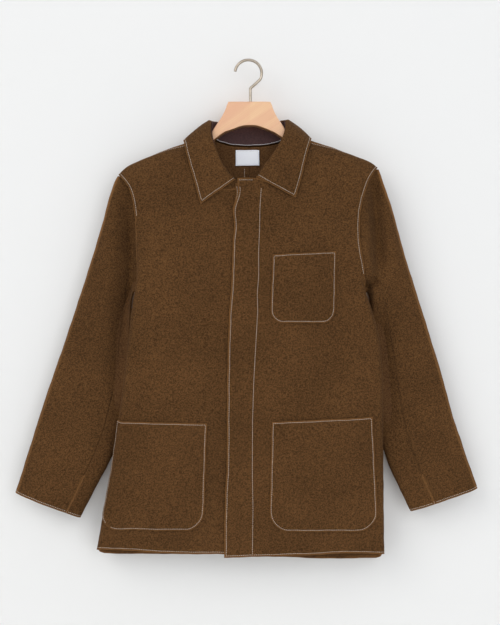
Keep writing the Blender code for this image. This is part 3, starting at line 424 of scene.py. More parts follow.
# Each crease is a soft trough along a path of (x, z) places, in metres. A depth under zero is a ridge.
creaseSet = {
    "front": [
        {"path": [(-0.088, -0.272), (-0.122, -0.370), (-0.150, -0.500)], "depth": 0.0026, "width": 0.020},
        {"path": [(-0.058, -0.300), (-0.082, -0.420), (-0.080, -0.600)], "depth": -0.0016, "width": 0.022},
        {"path": [(0.092, -0.262), (0.128, -0.335), (0.178, -0.402)], "depth": 0.0026, "width": 0.016},
        {"path": [(0.126, -0.258), (0.160, -0.315), (0.196, -0.350)], "depth": -0.0018, "width": 0.014},
        {"path": [(-0.345, -0.520), (-0.285, -0.492), (-0.240, -0.530)], "depth": 0.0024, "width": 0.017},
        {"path": [(-0.385, -0.640), (-0.320, -0.600), (-0.262, -0.632)], "depth": 0.0020, "width": 0.018},
        {"path": [(-0.300, -0.420), (-0.262, -0.395), (-0.238, -0.410)], "depth": 0.0018, "width": 0.014},
        {"path": [(0.380, -0.650), (0.325, -0.620), (0.272, -0.640)], "depth": 0.0024, "width": 0.017},
        {"path": [(0.345, -0.505), (0.300, -0.510), (0.262, -0.540)], "depth": 0.0021, "width": 0.016},
        {"path": [(0.405, -0.735), (0.360, -0.715), (0.330, -0.730)], "depth": 0.0016, "width": 0.014},
        {"path": [(-0.060, -0.640), (-0.070, -0.760), (-0.062, -0.900)], "depth": 0.0020, "width": 0.024},
        {"path": [(0.020, -0.300), (0.014, -0.430), (0.018, -0.560)], "depth": 0.0012, "width": 0.018},
        {"path": [(0.148, -0.505), (0.160, -0.580), (0.158, -0.660)], "depth": 0.0020, "width": 0.023},
        {"path": [(0.082, -0.520), (0.075, -0.600), (0.062, -0.680)], "depth": -0.0016, "width": 0.020},
        {"path": [(0.028, -0.720), (0.022, -0.800), (0.026, -0.905)], "depth": 0.0018, "width": 0.018},
        {"path": [(-0.178, -0.215), (-0.183, -0.270), (-0.180, -0.330)], "depth": 0.0020, "width": 0.013},
        {"path": [(0.176, -0.210), (0.170, -0.262), (0.172, -0.320)], "depth": 0.0018, "width": 0.013},
        {"path": [(-0.135, -0.560), (-0.150, -0.620), (-0.148, -0.668)], "depth": -0.0014, "width": 0.020},
        {"path": [(-0.205, -0.760), (-0.215, -0.840), (-0.222, -0.905)], "depth": 0.0016, "width": 0.018},
    ],
    "sleeve": [
        {"path": [(0.206, -0.424), (0.222, -0.415), (0.240, -0.402)], "depth": 0.0130, "width": 0.0080},
        {
            "path": [(0.223, -0.190), (0.230, -0.245), (0.236, -0.300), (0.239, -0.350), (0.241, -0.412)],
            "depth": 0.0240, "width": 0.0140,
        },
        {"path": [(0.216, -0.345), (0.221, -0.385), (0.231, -0.388)], "depth": -0.0040, "width": 0.0090},
        {
            "path": [
                (-0.226, -0.182), (-0.222, -0.250), (-0.222, -0.330),
                (-0.226, -0.450), (-0.230, -0.600), (-0.244, -0.720),
            ],
            "depth": 0.0260, "width": 0.0240,
        },
        {
            "path": [(-0.2225, -0.262), (-0.2185, -0.340), (-0.224, -0.430), (-0.230, -0.560)],
            "depth": 0.0060, "width": 0.0100,
        },
        {
            "path": [(0.236, -0.425), (0.246, -0.520), (0.252, -0.620), (0.254, -0.720)],
            "depth": 0.0140, "width": 0.0190,
        },
    ],
    "front_left": [
        {"path": [(-0.020, -0.236), (-0.023, -0.256), (-0.026, -0.276)], "depth": -0.0042, "width": 0.0100},
        {"path": [(0.004, -0.262), (-0.004, -0.310)], "depth": 0.0016, "width": 0.0120},
    ],
    "back": [
        {"path": [(0.030, -0.240), (0.055, -0.360), (0.070, -0.520)], "depth": 0.0028, "width": 0.022},
        {"path": [(-0.035, -0.250), (-0.060, -0.380), (-0.058, -0.560)], "depth": 0.0024, "width": 0.022},
        {"path": [(0.120, -0.225), (0.150, -0.310), (0.192, -0.395)], "depth": 0.0032, "width": 0.018},
        {"path": [(-0.115, -0.230), (-0.152, -0.320), (-0.190, -0.400)], "depth": 0.0030, "width": 0.018},
        {"path": [(0.130, -0.560), (0.140, -0.700), (0.122, -0.900)], "depth": 0.0034, "width": 0.026},
        {"path": [(-0.140, -0.540), (-0.150, -0.680), (-0.170, -0.900)], "depth": 0.0032, "width": 0.026},
        {"path": [(0.045, -0.640), (0.038, -0.760), (0.048, -0.900)], "depth": 0.0024, "width": 0.024},
        {"path": [(-0.070, -0.700), (-0.078, -0.800), (-0.070, -0.900)], "depth": -0.0020, "width": 0.024},
        {"path": [(0.228, -0.330), (0.236, -0.420), (0.242, -0.520)], "depth": 0.0050, "width": 0.0120},
        {"path": [(-0.226, -0.330), (-0.232, -0.420), (-0.236, -0.560)], "depth": 0.0050, "width": 0.0120},
        {"path": [(0.350, -0.520), (0.300, -0.500), (0.255, -0.525)], "depth": 0.0026, "width": 0.017},
        {"path": [(-0.340, -0.500), (-0.295, -0.486), (-0.250, -0.515)], "depth": 0.0024, "width": 0.017},
        {"path": [(0.385, -0.640), (0.335, -0.612), (0.280, -0.640)], "depth": 0.0022, "width": 0.018},
        {"path": [(-0.380, -0.620), (-0.330, -0.600), (-0.270, -0.625)], "depth": 0.0022, "width": 0.018},
    ],
}

swaySet = {  # slow waves over the cloth: how far it moves, radians a metre along x and z, and the start
    "front": [
        {"size": 0.0010, "x": 21.0, "z": 7.0, "start": 0.4},
        {"size": 0.0008, "x": 43.0, "z": -11.0, "start": 2.1},
        {"size": 0.0005, "x": 71.0, "z": 37.0, "start": 4.0},
    ],
    "back": [
        {"size": 0.0014, "x": 18.0, "z": -6.0, "start": 1.3},
        {"size": 0.0009, "x": 37.0, "z": 13.0, "start": 3.2},
        {"size": 0.0005, "x": 66.0, "z": -31.0, "start": 0.7},
    ],
}
wanderSet = {  # the hand's small unevenness in cutting and sewing
    "sideways": [
        {"size": 0.00021, "x": 31.0, "z": 96.0, "start": 0.0},
        {"size": 0.00014, "x": 0.0, "z": 231.0, "start": 0.0},
    ],
    "upright": [
        {"size": 0.00021, "x": 88.0, "z": 0.0, "start": 1.0},
        {"size": 0.00014, "x": 213.0, "z": 40.0, "start": 0.0},
    ],
}
pullSet = [  # small shifts of the cloth sideways and downwards, round a place
    {"at": (-0.0215, -0.2480), "reach": (0.016, 0.015), "move": (0.0046, 0.0)},
    {"at": (-0.0290, -0.2820), "reach": (0.016, 0.014), "move": (-0.0016, 0.0)},
    {"at": (-0.0280, -0.3100), "reach": (0.016, 0.014), "move": (0.0012, 0.0)},
]
hangSet = {
    "faceRun": 0.016, "middleY": 0.004, "taperRun": 3.2, "taperEnd": 0.10,
    "calmTop": -0.150, "calmRun": 0.07,
}


def alongPath(points, path):  # each place's distance to a path, and how far along the path it lies
    path = np.array(path)
    lengths = np.linalg.norm(np.diff(path, axis=0), axis=1)
    starts = np.concatenate([[0], np.cumsum(lengths)])
    best = np.full(len(points), 9.0)
    where = np.zeros(len(points))
    for a, b, start, length in zip(path, path[1:], starts, lengths):
        t = np.clip((points - a) @ (b - a) / length**2, 0, 1)
        gap = np.linalg.norm(points - (a + t[:, None] * (b - a)), axis=1)
        nearer = gap < best
        best = np.where(nearer, gap, best)
        where = np.where(nearer, (start + t * length) / starts[-1], where)
    return best, where


def smooth(t):
    t = np.clip(t, 0, 1)
    return t * t * (3 - 2 * t)


def rippled(flat, swings):
    x, z = flat.T
    return sum(s["size"] * np.sin(s["x"] * x + s["z"] * z + s["start"]) for s in swings)


def hang(points, nodeName):  # layers that touch move together
    flat = points[:, [0, 2]]
    moved = points.copy()
    y = points[:, 1] - hangSet["middleY"]
    for face, sign in (("front", -1), ("back", 1)):
        share = smooth(sign * y / hangSet["faceRun"])
        push = np.zeros(len(points))
        own = next((creaseSet[key] for key in ("sleeve", "front_left") if key in nodeName), [])
        for crease in creaseSet[face] + (own if face == "front" else []):
            gap, t = alongPath(flat, crease["path"])
            taper = smooth(np.minimum(t, 1 - t) * hangSet["taperRun"] + hangSet["taperEnd"])
            push += crease["depth"] * taper * np.exp(-((gap / crease["width"]) ** 2))
        push += rippled(flat, swaySet[face])
        calm = smooth((hangSet["calmTop"] - flat[:, 1]) / hangSet["calmRun"])  # smooth over the hanger
        moved[:, 1] -= sign * push * share * calm
    if "sleeve" not in nodeName:
        for pull in pullSet:
            away = (flat - np.array(pull["at"])) / np.array(pull["reach"])
            share = np.exp(-(away**2).sum(axis=1)) * (points[:, 1] < 0)
            moved[:, 0] += pull["move"][0] * share
            moved[:, 2] += pull["move"][1] * share
    moved[:, 0] += rippled(flat, wanderSet["sideways"])
    moved[:, 2] += rippled(flat, wanderSet["upright"])
    return moved


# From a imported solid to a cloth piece

formSet = {
    "merge": 0.00001, "pairFace": 0.6, "pairShape": 1.6, "crease": 0.9, "missMost": 0.004,
    "level": 3, "sharp": 0.9, "rawReach": 0.0022, "rawShare": 0.8, "shortestRow": 8,
}
sheetSet = {"turns": (0.5, 0.65, 0.8, 0.95, 1.1), "slack": 0.03, "leastArea": 0.97}


def read(items, what, width=1, kind=float):
    values = np.empty(len(items) * width, kind)
    items.foreach_get(what, values)
    return values.reshape(-1, width) if width > 1 else values


def meshPoints(mesh):
    return read(mesh.vertices, "co", 3)


def sheetsOf(build, limit):  # faces joined over edges that turn less than a limit
    unseen = set(build.faces)
    sheets = []
    while unseen:
        queue = [unseen.pop()]
        for face in queue:
            for edge in face.edges:
                if len(edge.link_faces) == 2 and edge.calc_face_angle() < limit:
                    for other in edge.link_faces:
                        if other in unseen:
                            unseen.discard(other)
                            queue.append(other)
        sheets.append(queue)
    return sorted(sheets, key=lambda faces: -sum(f.calc_area() for f in faces))


def tagSheets(build, isOuter):  # material 0 on the outer face, 1 on the inner face and 2 on the cut edges
    tries = []
    for limit in sheetSet["turns"]:
        sheets = sheetsOf(build, limit)
        if len(sheets) > 2:
            one, two = (sum(f.calc_area() for f in faces) for faces in sheets[:2])
            tries.append((two / one, one + two, sheets))
    leastShare = max(t[0] for t in tries) - sheetSet["slack"]
    leastArea = max(t[1] for t in tries) * sheetSet["leastArea"]
    best = next((t for t in tries if t[0] > leastShare and t[1] > leastArea), tries[-1])
    for face in build.faces:
        face.material_index = 2
    scores = []
    for faces in best[2][:2]:
        normals = np.array([tuple(f.normal) for f in faces])
        centres = np.array([tuple(f.calc_center_median()) for f in faces])
        scores.append(isOuter(normals, centres, np.array([f.calc_area() for f in faces])))
    outer = int(np.argmax(scores))
    for i, faces in enumerate(best[2][:2]):
        for face in faces:
            face.material_index = 0 if i == outer else 1
    return round(best[0], 2)


def softMesh(nodeName, level, isOuter=None, hold=None):  # a node's form, smoothed through its own corners
    build = bmesh.new()
    build.from_mesh(nodes[nodeName].data)
    bmesh.ops.remove_doubles(build, verts=build.verts, dist=formSet["merge"])
    pairing = {"angle_face_threshold": formSet["pairFace"], "angle_shape_threshold": formSet["pairShape"]}
    bmesh.ops.join_triangles(build, faces=build.faces, **pairing)
    build.normal_update()
    if isOuter:
        print(nodeName, "faces' areas agree to", tagSheets(build, isOuter))
    crease = build.edges.layers.float.new("crease_edge")
    for edge in build.edges:
        if len(edge.link_faces) == 2:
            one, two = (face.material_index for face in edge.link_faces)
            rim = isOuter and one != two
            edge[crease] = 1.0 if rim or edge.calc_face_angle() > formSet["crease"] else 0.0
    mesh = bpy.data.meshes.new(nodeName + "Form")
    build.to_mesh(mesh)
    build.free()
    for _ in range(3):
        mesh.materials.append(None)
    holder = bpy.data.objects.new(nodeName + "Form", mesh)
    scene.collection.objects.link(holder)
    subdivide = holder.modifiers.new("smooth", "SUBSURF")
    subdivide.levels = subdivide.render_levels = level
    aim = meshPoints(mesh)
    for _ in range(2):
        shown = holder.evaluated_get(bpy.context.evaluated_depsgraph_get()).to_mesh()
        missed = aim - meshPoints(shown)[:len(aim)]
        size = np.maximum(np.linalg.norm(missed, axis=1), 1e-9)
        missed *= np.minimum(1, formSet["missMost"] / size)[:, None]
        if hold:
            missed *= hold(aim)[:, None]
        mesh.vertices.foreach_set("co", (meshPoints(mesh) + missed).ravel())
        mesh.update()
        bpy.context.view_layer.update()
    finer = bpy.data.meshes.new_from_object(holder.evaluated_get(bpy.context.evaluated_depsgraph_get()))
    bpy.data.objects.remove(holder)
    return finer


def outerLoop(mesh):  # the outer face's edge, in rows of places, normals, ways along and ways inward
    loops = read(mesh.loops, "edge_index", kind=int)
    starts = read(mesh.polygons, "loop_start", kind=int)
    owner = np.searchsorted(starts, np.arange(len(loops)), side="right") - 1
    pairs = owner[np.argsort(loops, kind="stable")].reshape(-1, 2)
    normals, centres = read(mesh.polygons, "normal", 3), read(mesh.polygons, "center", 3)
    tags = read(mesh.polygons, "material_index", kind=int)
    points = meshPoints(mesh)
    ends = read(mesh.edges, "vertices", 2, int)
    outside = tags[pairs] == 0
    rim = np.where(outside[:, 0] != outside[:, 1])[0]
    face = np.where(outside[:, 0], pairs[:, 0], pairs[:, 1])
    chains = []
    for chain, closed in joinedUp([tuple(ends[e]) for e in rim], face[rim]):
        at, beside = np.array([c[0] for c in chain]), np.array([c[1] for c in chain])
        places, up = points[at], normals[beside]
        ways = np.gradient(places, axis=0)
        if closed:
            ways = np.roll(places, -1, axis=0) - np.roll(places, 1, axis=0)
        ways /= np.maximum(np.linalg.norm(ways, axis=1, keepdims=True), 1e-9)
        inward = np.cross(up, ways)
        inward *= np.sign(np.einsum("ij,ij->i", inward, centres[beside] - places))[:, None]
        inward /= np.maximum(np.linalg.norm(inward, axis=1, keepdims=True), 1e-9)
        chains.append({"places": places, "up": up, "ways": ways, "inward": inward, "closed": closed})
    corners = read(mesh.loops, "vertex_index", kind=int)
    onRim = np.zeros(len(points), bool)
    onRim[corners[tags[owner] == 2]] = True
    return {"chains": chains, "tags": tags, "rim": points[np.unique(ends[rim])], "onRim": onRim}


def joinedUp(edges, faces):  # edges joined end to end into rows of (vertex, face), and whether each closes
    near = {}
    for i, (a, b) in enumerate(edges):
        near.setdefault(a, []).append(i)
        near.setdefault(b, []).append(i)
    unused = set(range(len(edges)))
    rows = []
    while unused:
        first = unused.pop()
        row = [(edges[first][0], faces[first]), (edges[first][1], faces[first])]
        for _ in range(2):
            while True:
                end = row[-1][0]
                step = next((i for i in near[end] if i in unused), None)
                if step is None:
                    break
                unused.discard(step)
                row.append((edges[step][0] if edges[step][1] == end else edges[step][1], faces[step]))
            row.reverse()
        closed = row[0][0] == row[-1][0]
        if len(row) > formSet["shortestRow"]:
            rows.append((row[:-1] if closed else row, closed))
    return rows


def nearRim(loop):
    tree = KDTree(len(loop["rim"]))
    for i, point in enumerate(loop["rim"]):
        tree.insert(point, i)
    tree.balance()
    return tree


def markRawEdgeAndSheen(mesh, loop, raw):  # the edge attribute is 1 on the cut edge and falls to 0 a little way into the face; the raw rule may add a painted highlight to it
    points = meshPoints(mesh)
    reach = np.array([loop["near"].find(point)[2] for point in points])
    faded = np.clip(1 - reach / formSet["rawReach"], 0, 1) * formSet["rawShare"]
    values = np.where(loop["onRim"], 1.0, faded)
    values = raw(points, values)
    mesh.attributes.new("rawEdgeAndSheen", "FLOAT", "POINT").data.foreach_set("value", values)


clothPieces = {}
stitchRuns = []
armholeSet = {"x": 0.244, "z": -0.21, "slope": 0.125, "run": 0.030}


def keepEnds(points):  # a sleeve's end under the armhole keeps its own form
    armhole = armholeSet["x"] + (points[:, 2] - armholeSet["z"]) * armholeSet["slope"]
    return smooth((np.abs(points[:, 0]) - armhole) / armholeSet["run"])


def makeCloth(
    nodeName, pieceName, isOuter, materials, slotName, cut, area, held="hung", rests="hanger", raw=None
):
    mesh = softMesh(nodeName, formSet["level"], isOuter, keepEnds if "sleeve" in nodeName else None)
    mesh.name = pieceName
    points = hang(meshPoints(mesh), nodeName)
    mesh.vertices.foreach_set("co", points.ravel())
    mesh.update()
    loop = outerLoop(mesh)
    loop["near"] = nearRim(loop)
    if raw:
        markRawEdgeAndSheen(mesh, loop, raw)
    mesh.materials.clear()
    for material in materials:
        mesh.materials.append(material)
    inside = (loop["tags"] == 1) * (len(materials) - 1)
    mesh.polygons.foreach_set("material_index", inside)
    mesh.shade_smooth()
    mesh.set_sharp_from_angle(angle=formSet["sharp"])
    piece = bpy.data.objects.new(pieceName, mesh)
    scene.collection.objects.link(piece)
    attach(piece, "root")
    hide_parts(nodeName)
    corners = [tuple(polygon.vertices) for polygon in mesh.polygons]
    loop["tree"] = BVHTree.FromPolygons([tuple(p) for p in points], corners)
    clothPieces[nodeName] = loop
    clothArea = round(sum(polygon.area for polygon in mesh.polygons) / 2, 4)
    print(pieceName, len(mesh.polygons), "faces, cloth area", clothArea)
    return loop


def facesFront(normals, centres, areas):
    return -(normals[:, 1] * areas).sum()


def facesBack(normals, centres, areas):
    return (normals[:, 1] * areas).sum()


def isLarger(normals, centres, areas):
    return areas.sum()


def isOnTop(normals, centres, areas):
    return centres[:, 2].max()


runSet = {"lift": 0.0002, "nearest": 0.93, "jump": 0.012, "step": 0.0010, "castStep": 0.004, "castFrom": 0.3}


def edgeRun(loop, keep, inset, lift=runSet["lift"], pieces=stitchRuns):  # stitches inside a cut edge
    for chain in loop["chains"]:
        chosen = keep(chain["places"], chain["ways"], chain["up"])
        count = len(chosen)
        starts = [i for i in range(count) if chosen[i] and not chosen[i - 1]]
        first = starts[0] if chain["closed"] and starts else 0
        last, run = None, []
        for k in range(count + (1 if chain["closed"] and all(chosen) else 0)):
            i = (first + k) % count
            if not chosen[i]:
                last = None
                continue
            wanted = Vector(chain["places"][i] + chain["inward"][i] * inset)
            place, normal, _, _ = loop["tree"].find_nearest(wanted)
            if loop["near"].find(place)[2] < runSet["nearest"] * inset:
                continue
            spot = np.array(place) + np.array(normal) * lift
            if last is None or np.linalg.norm(spot - last) > runSet["jump"]:
                run = []
                pieces.append(run)
                last = None
            if last is None or np.linalg.norm(spot - last) > runSet["step"]:
                run.append((spot, np.array(normal)))
                last = spot


def castRun(nodeName, path):  # stitches along (x, z) places, cast on to a piece along the view from the front
    tree = clothPieces[nodeName]["tree"]
    path = np.array(path)
    lengths = np.concatenate([[0], np.cumsum(np.linalg.norm(np.diff(path, axis=0), axis=1))])
    run = []
    stitchRuns.append(run)
    for at in np.arange(0, lengths[-1], runSet["castStep"]):
        x, z = np.interp(at, lengths, path[:, 0]), np.interp(at, lengths, path[:, 1])
        place, normal, _, _ = tree.ray_cast(Vector((x, -runSet["castFrom"], z)), Vector((0, 1, 0)))
        if place is not None:
            run.append((np.array(place) + np.array(normal) * runSet["lift"], np.array(normal)))


# The cloth pieces

wools = [woolOuter, woolInner]
outerFolds = [  # the sleeves' outer edges, where a painted highlight stands for the light catching the nap
    [
        (0.238, -0.197), (0.243, -0.212), (0.254, -0.245), (0.268, -0.288), (0.283, -0.343),
        (0.320, -0.464), (0.357, -0.585), (0.386, -0.687), (0.422, -0.790),
    ],
    [
        (-0.243, -0.211), (-0.249, -0.223), (-0.259, -0.254), (-0.271, -0.298), (-0.286, -0.347),
        (-0.325, -0.467), (-0.364, -0.582), (-0.400, -0.692), (-0.433, -0.798),
    ],
]
foldSheenSet = {"fade": 0.0036, "full": 1.6, "middleY": -0.004, "depth": 0.012}
underarmSet = {"x": 0.19, "z": -0.415, "reach": 0.030}
cuffTop = -0.765


def rawAll(points, values):  # the cut edge is hidden in the underarm
    beside = np.abs(points[:, 0]) < underarmSet["x"]
    return values * (beside | (np.abs(points[:, 2] - underarmSet["z"]) > underarmSet["reach"]))


def rawCuffAndFoldSheen(points, values):
    # the cut edge at the cuffs, plus a painted highlight along the sleeves' outer folds, strongest at their
    # middle depth
    fold = np.minimum(*(alongPath(points[:, [0, 2]], path)[0] for path in outerFolds))
    foldSheen = np.clip(foldSheenSet["full"] - fold / foldSheenSet["fade"], 0, 1)
    foldSheen *= np.exp(-(((points[:, 1] - foldSheenSet["middleY"]) / foldSheenSet["depth"]) ** 2))
    return np.maximum(values * (points[:, 2] < cuffTop), foldSheen)


def rawOffCentre(points, values):  # the two backs meet in the centre-back seam
    return values * (np.abs(points[:, 0]) > 0.004)


frontSet = {"isOuter": facesFront, "materials": wools, "slotName": "wool", "raw": rawAll}
backSet = {"isOuter": facesBack, "materials": wools, "slotName": "wool", "raw": rawOffCentre}
frontLeft = makeCloth("front_left", "frontLeft", cut=(0.300, 0.800), area=0.2060, **frontSet)
frontRight = makeCloth("front_right", "frontRight", cut=(0.330, 0.800), area=0.2150, **frontSet)
backLeft = makeCloth("back_left", "backLeft", cut=(0.280, 0.830), area=0.1980, **backSet)
backRight = makeCloth("back_right", "backRight", cut=(0.290, 0.830), area=0.2050, **backSet)

sleeveSet = {
    "isOuter": isLarger, "materials": wools, "slotName": "wool", "raw": rawCuffAndFoldSheen,
    "cut": (0.400, 0.640), "area": 0.2060,
}
sleeveLeft = makeCloth("sleeve_left", "sleeveLeft", rests="front_left", **sleeveSet)
sleeveRight = makeCloth("sleeve_right", "sleeveRight", rests="front_right", **sleeveSet)

collarSet = {
    "nodeName": "collar", "pieceName": "collar", "isOuter": isOnTop, "materials": [woolOuter],
    "slotName": "wool", "raw": rawAll, "cut": (0.560, 0.110), "area": 0.0470,
    "held": "folded", "rests": "front_left",
}
collar = makeCloth(**collarSet)

standSet = {
    "nodeName": "collar_stand", "pieceName": "collarStand", "isOuter": facesFront, "materials": [collarFelt],
    "slotName": "felt", "cut": (0.300, 0.030), "area": 0.0082, "rests": "collar",
}
stand = makeCloth(**standSet)

stripSet = {
    "nodeName": "fly_strip", "pieceName": "flyStrip", "isOuter": facesFront, "materials": [woolOuter],
    "slotName": "wool", "raw": rawAll, "cut": (0.048, 0.680), "area": 0.0326, "rests": "front_left",
}
strip = makeCloth(**stripSet)

chestPocketSet = {"cut": (0.118, 0.131), "area": 0.0150, **frontSet}
lowerPocketSet = {"cut": (0.197, 0.210), "area": 0.0395, **frontSet}
chestPocket = makeCloth("chest_pocket", "chestPocket", rests="front_left", **chestPocketSet)
pocketLeft = makeCloth("pocket_left", "pocketLeft", rests="front_left", **lowerPocketSet)
pocketRight = makeCloth("pocket_right", "pocketRight", rests="front_right", **lowerPocketSet)

labelSet = {
    "nodeName": "label", "pieceName": "neckLabel", "isOuter": facesFront, "materials": [labelSatin],
    "slotName": "satin", "cut": (0.0445, 0.0310), "area": 0.00134, "rests": "back_left",
}
label = makeCloth(**labelSet)

# Which edges are stitched, worked out from their places, the ways they run and the ways the cloth faces

seamSet = {
    "sideX": 0.195, "sideTop": -0.425, "frontSideY": -0.004, "backSideY": 0.008,
    "collarReach": 0.0045, "placketMiddle": -0.0053, "placketHalf": 0.0158,
    "throatHalf": 0.10, "throatLow": -0.246,
    "armholeX": 0.19, "armholeLow": -0.425, "turnsRight": -0.290, "turnsLeft": -0.394,
    "shoulderLow": -0.212, "shoulderY": 0.012, "neckHalf": 0.083, "neckLow": -0.165,
    "centreHalf": 0.002, "hemLine": -0.905,
    "cuffTop": -0.770, "cuffX": 0.29, "level": 0.75, "upright": 0.9, "peekTop": -0.236,
    "leafY": -0.002, "leafFacing": 0.2, "leafEndX": 0.095, "standY": 0.012, "standTop": -0.130,
}


def hemAndEdges(places, ways, up):
    x, y, z = places.T
    sideSeam = (np.abs(x) > seamSet["sideX"]) & (y > seamSet["frontSideY"]) & (z < seamSet["sideTop"])
    collarTree = clothPieces["collar"]["tree"]
    neck = np.array([collarTree.find_nearest(Vector(p))[3] < seamSet["collarReach"] for p in places])
    offPlacket = np.abs(x - seamSet["placketMiddle"]) > seamSet["placketHalf"]
    throat = (z > seamSet["throatLow"]) & offPlacket & (np.abs(x) < seamSet["throatHalf"])
    turnsAt = np.where(x < 0, seamSet["turnsRight"], seamSet["turnsLeft"])  # below it the armhole rolls under
    rolled = (z > seamSet["armholeLow"]) & (z < turnsAt) & (np.abs(x) > seamSet["armholeX"])
    return ~sideSeam & ~neck & ~throat & ~rolled


def backEdges(places, ways, up):
    x, y, z = places.T
    sideSeam = (np.abs(x) > seamSet["sideX"]) & (y < seamSet["backSideY"]) & (z < seamSet["sideTop"])
    shoulder = (z > seamSet["shoulderLow"]) & (y < seamSet["shoulderY"])
    neck = (np.abs(x) < seamSet["neckHalf"]) & (z > seamSet["neckLow"])
    return ~sideSeam & ~neck & ~shoulder


def backEdgesOneSide(places, ways, up):  # the centre-back seam is sewn from one side only
    centre = (np.abs(places[:, 0]) < seamSet["centreHalf"]) & (places[:, 2] > seamSet["hemLine"])
    return backEdges(places, ways, up) & ~centre


def cuffOnly(places, ways, up):
    low = (places[:, 2] < seamSet["cuffTop"]) & (np.abs(places[:, 0]) > seamSet["cuffX"])
    return low & (np.abs(ways[:, 2]) < seamSet["level"])


def collarLeaf(places, ways, up):
    front = (places[:, 1] < seamSet["leafY"]) & (up[:, 1] < -seamSet["leafFacing"])
    back = (places[:, 1] > 0.0) & (up[:, 1] > seamSet["leafFacing"])
    return front | back | (np.abs(places[:, 0]) > seamSet["leafEndX"])


def everywhere(places, ways, up):
    return np.ones(len(places), bool)


def peekingEdge(places, ways, up):
    low = (places[:, 2] < seamSet["peekTop"]) & (places[:, 0] < 0.0)
    return low & (np.abs(ways[:, 2]) > seamSet["upright"])


def lowerBackEdge(places, ways, up):
    return (places[:, 1] > seamSet["standY"]) & (places[:, 2] < seamSet["standTop"])


# Rows of stitches

stitchSet = {
    "pitch": 0.0034, "length": 0.0029, "width": 0.0009, "thickness": 0.0006, "tilt": 0.10, "seed": 5,
}
neckSeamSet = {
    "pitch": 0.0019, "length": 0.0019, "width": 0.0014, "thickness": 0.0009, "tilt": 0.35, "seed": 9,
}
labelSeamSet = {
    "pitch": 0.0026, "length": 0.0022, "width": 0.0005, "thickness": 0.0003, "tilt": 0.05, "seed": 3,
}
ballSet = {"Segments": 6, "Rings": 4, "Radius": 0.5}
insetSet = {
    "edge": 0.0036, "strip": 0.6, "pocket": 0.75, "neck": 0.0010, "label": 0.0022,
    "neckLift": 0.0003, "labelLift": 0.0001,
}
placketPath = [
    (0.0215, -0.240), (0.0205, -0.254), (0.0192, -0.272), (0.0184, -0.316), (0.0167, -0.354),
    (0.0170, -0.399), (0.0143, -0.430), (0.0151, -0.462), (0.0080, -0.588), (0.0058, -0.660),
    (0.0053, -0.752), (0.0064, -0.822), (0.0055, -0.906),
]
insideSeamPath = [(-0.0092, -0.1960), (-0.0092, -0.3200)]
seamRuns = []
labelRuns = []

inset = insetSet["edge"]
edgeRun(frontLeft, hemAndEdges, inset)
edgeRun(frontRight, hemAndEdges, inset)
edgeRun(backLeft, backEdges, inset)
edgeRun(backRight, backEdgesOneSide, inset)
edgeRun(sleeveLeft, cuffOnly, inset)
edgeRun(sleeveRight, cuffOnly, inset)
edgeRun(collar, collarLeaf, inset)
edgeRun(strip, peekingEdge, inset * insetSet["strip"])
for pocket in (chestPocket, pocketLeft, pocketRight):
    edgeRun(pocket, everywhere, inset * insetSet["pocket"])
castRun("front_left", placketPath)
castRun("back_right", insideSeamPath)
edgeRun(stand, lowerBackEdge, insetSet["neck"], insetSet["neckLift"], seamRuns)
edgeRun(label, everywhere, insetSet["label"], insetSet["labelLift"], labelRuns)


def stitchTree():  # Geometry Nodes: stitches along runs, lying on the cloth by the runs' own up attribute
    tree = bpy.data.node_groups.new("stitchesAlongRuns", "GeometryNodeTree")
    kinds = {name.capitalize(): "Float" for name in stitchSet} | {"Seed": "Int", "Material": "Material"}
    for label, kind in [("Geometry", "Geometry"), *kinds.items()]:
        tree.interface.new_socket(label, in_out="INPUT", socket_type="NodeSocket" + kind)
    tree.interface.new_socket("Geometry", in_out="OUTPUT", socket_type="NodeSocketGeometry")
    given, result = tree.nodes.new("NodeGroupInput").outputs, tree.nodes.new("NodeGroupOutput")
    curve = place(tree, "GeometryNodeMeshToCurve", [("Mesh", given["Geometry"])]).outputs[0]
    spacing = [("Curve", curve), ("Length", given["Pitch"])]
    spaced = place(tree, "GeometryNodeResampleCurve", spacing, mode="LENGTH").outputs[0]
    up = place(tree, "GeometryNodeInputNamedAttribute", [("Name", "up")], data_type="FLOAT_VECTOR").outputs[0]
    along = place(tree, "GeometryNodeInputTangent").outputs[0]
    axes = [("Primary Axis", up), ("Secondary Axis", along)]
    turn = place(tree, "FunctionNodeAxesToRotation", axes, primary_axis="Z", secondary_axis="X").outputs[0]
    tilt = place(tree, "FunctionNodeRandomValue", [("Seed", given["Seed"])], data_type="FLOAT")
    low, high = [s for s in tilt.inputs if s.type == "VALUE"][:2]
    tree.links.new(combined(tree, "MULTIPLY", given["Tilt"], -1.0), low)
    tree.links.new(given["Tilt"], high)
    drawn = next(s for s in tilt.outputs if s.type == "VALUE")
    spin = place(tree, "ShaderNodeCombineXYZ", [("Z", drawn)]).outputs[0]
    spin = place(tree, "FunctionNodeEulerToRotation", [("Euler", spin)]).outputs[0]
    turning = [("Rotation", turn), ("Rotate By", spin)]
    turned = place(tree, "FunctionNodeRotateRotation", turning, rotation_space="LOCAL").outputs[0]
    ball = place(tree, "GeometryNodeMeshUVSphere", ballSet.items()).outputs[0]
    sides = [("X", given["Length"]), ("Y", given["Width"]), ("Z", given["Thickness"])]
    size = place(tree, "ShaderNodeCombineXYZ", sides).outputs[0]
    stitch = place(tree, "GeometryNodeTransform", [("Geometry", ball), ("Scale", size)]).outputs[0]
    copying = [("Points", spaced), ("Instance", stitch), ("Rotation", turned)]
    copies = place(tree, "GeometryNodeInstanceOnPoints", copying).outputs[0]
    real = place(tree, "GeometryNodeRealizeInstances", [("Geometry", copies)]).outputs[0]
    painting = [("Geometry", real), ("Material", given["Material"])]
    painted = place(tree, "GeometryNodeSetMaterial", painting).outputs[0]
    tree.links.new(painted, result.inputs["Geometry"])
    return tree


stitching = stitchTree()


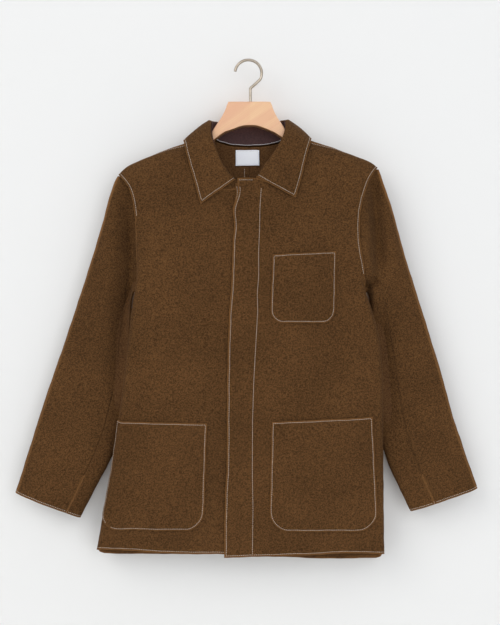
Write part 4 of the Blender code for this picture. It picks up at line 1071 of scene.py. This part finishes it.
def sewRuns(name, runs, sizes, material):
    points, ups, edges = [], [], []
    for run in runs:
        for i, (spot, up) in enumerate(run):
            if i:
                edges.append((len(points) - 1, len(points)))
            points.append(tuple(spot))
            ups.append(tuple(up))
    carrierMesh = bpy.data.meshes.new(name + "Runs")
    carrierMesh.from_pydata(points, edges, [])
    directions = carrierMesh.attributes.new("up", "FLOAT_VECTOR", "POINT")
    directions.data.foreach_set("vector", np.array(ups).ravel())
    carrier = bpy.data.objects.new(name + "Runs", carrierMesh)
    scene.collection.objects.link(carrier)
    modifier = carrier.modifiers.new("stitches", "NODES")
    modifier.node_group = stitching
    values = {key.capitalize(): value for key, value in sizes.items()} | {"Material": material}
    for item in stitching.interface.items_tree:
        if item.in_out == "INPUT" and item.name in values:
            modifier[item.identifier] = values[item.name]
    mesh = bpy.data.meshes.new_from_object(carrier.evaluated_get(bpy.context.evaluated_depsgraph_get()))
    bpy.data.objects.remove(carrier)
    mesh.name = name
    mesh.shade_smooth()
    if not mesh.materials:
        mesh.materials.append(material)
    piece = bpy.data.objects.new(name, mesh)
    scene.collection.objects.link(piece)
    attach(piece, "root")
    print(name, len(mesh.polygons), "faces")


sewRuns("topstitching", stitchRuns, stitchSet, threadPale)
sewRuns("neckSeam", seamRuns, neckSeamSet, threadWhite)
sewRuns("labelStitching", labelRuns, labelSeamSet, threadWhite)

# Hanger and hook

hardSet = {"level": 2, "sharp": 0.7}
hangerSet = {"nodeName": "hanger", "pieceName": "hangerWood", "material": mapleWood, "slotName": "maple"}
hookSet = {"nodeName": "hook", "pieceName": "hookWire", "material": satinNickel, "slotName": "nickel"}
underShadeSet = {"start": 0.42, "run": 0.22}  # how far down the wood has to face to get the painted shade


def makeHard(nodeName, pieceName, material, slotName):
    mesh = softMesh(nodeName, hardSet["level"])
    mesh.name = pieceName
    mesh.materials.clear()
    mesh.materials.append(material)
    mesh.shade_smooth()
    mesh.set_sharp_from_angle(angle=hardSet["sharp"])
    piece = bpy.data.objects.new(pieceName, mesh)
    scene.collection.objects.link(piece)
    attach(piece, "root")
    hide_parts(nodeName)
    return mesh


wood = makeHard(**hangerSet)
# painted shade on the downward-facing wood, stored for the maple's colour
turnedDown = -np.array([vertex.normal.z for vertex in wood.vertices])
paintedUnderShade = smooth((turnedDown - underShadeSet["start"]) / underShadeSet["run"])
wood.attributes.new("undersideShade", "FLOAT", "POINT").data.foreach_set("value", paintedUnderShade)
makeHard(**hookSet)
print("hanger and hook ready")
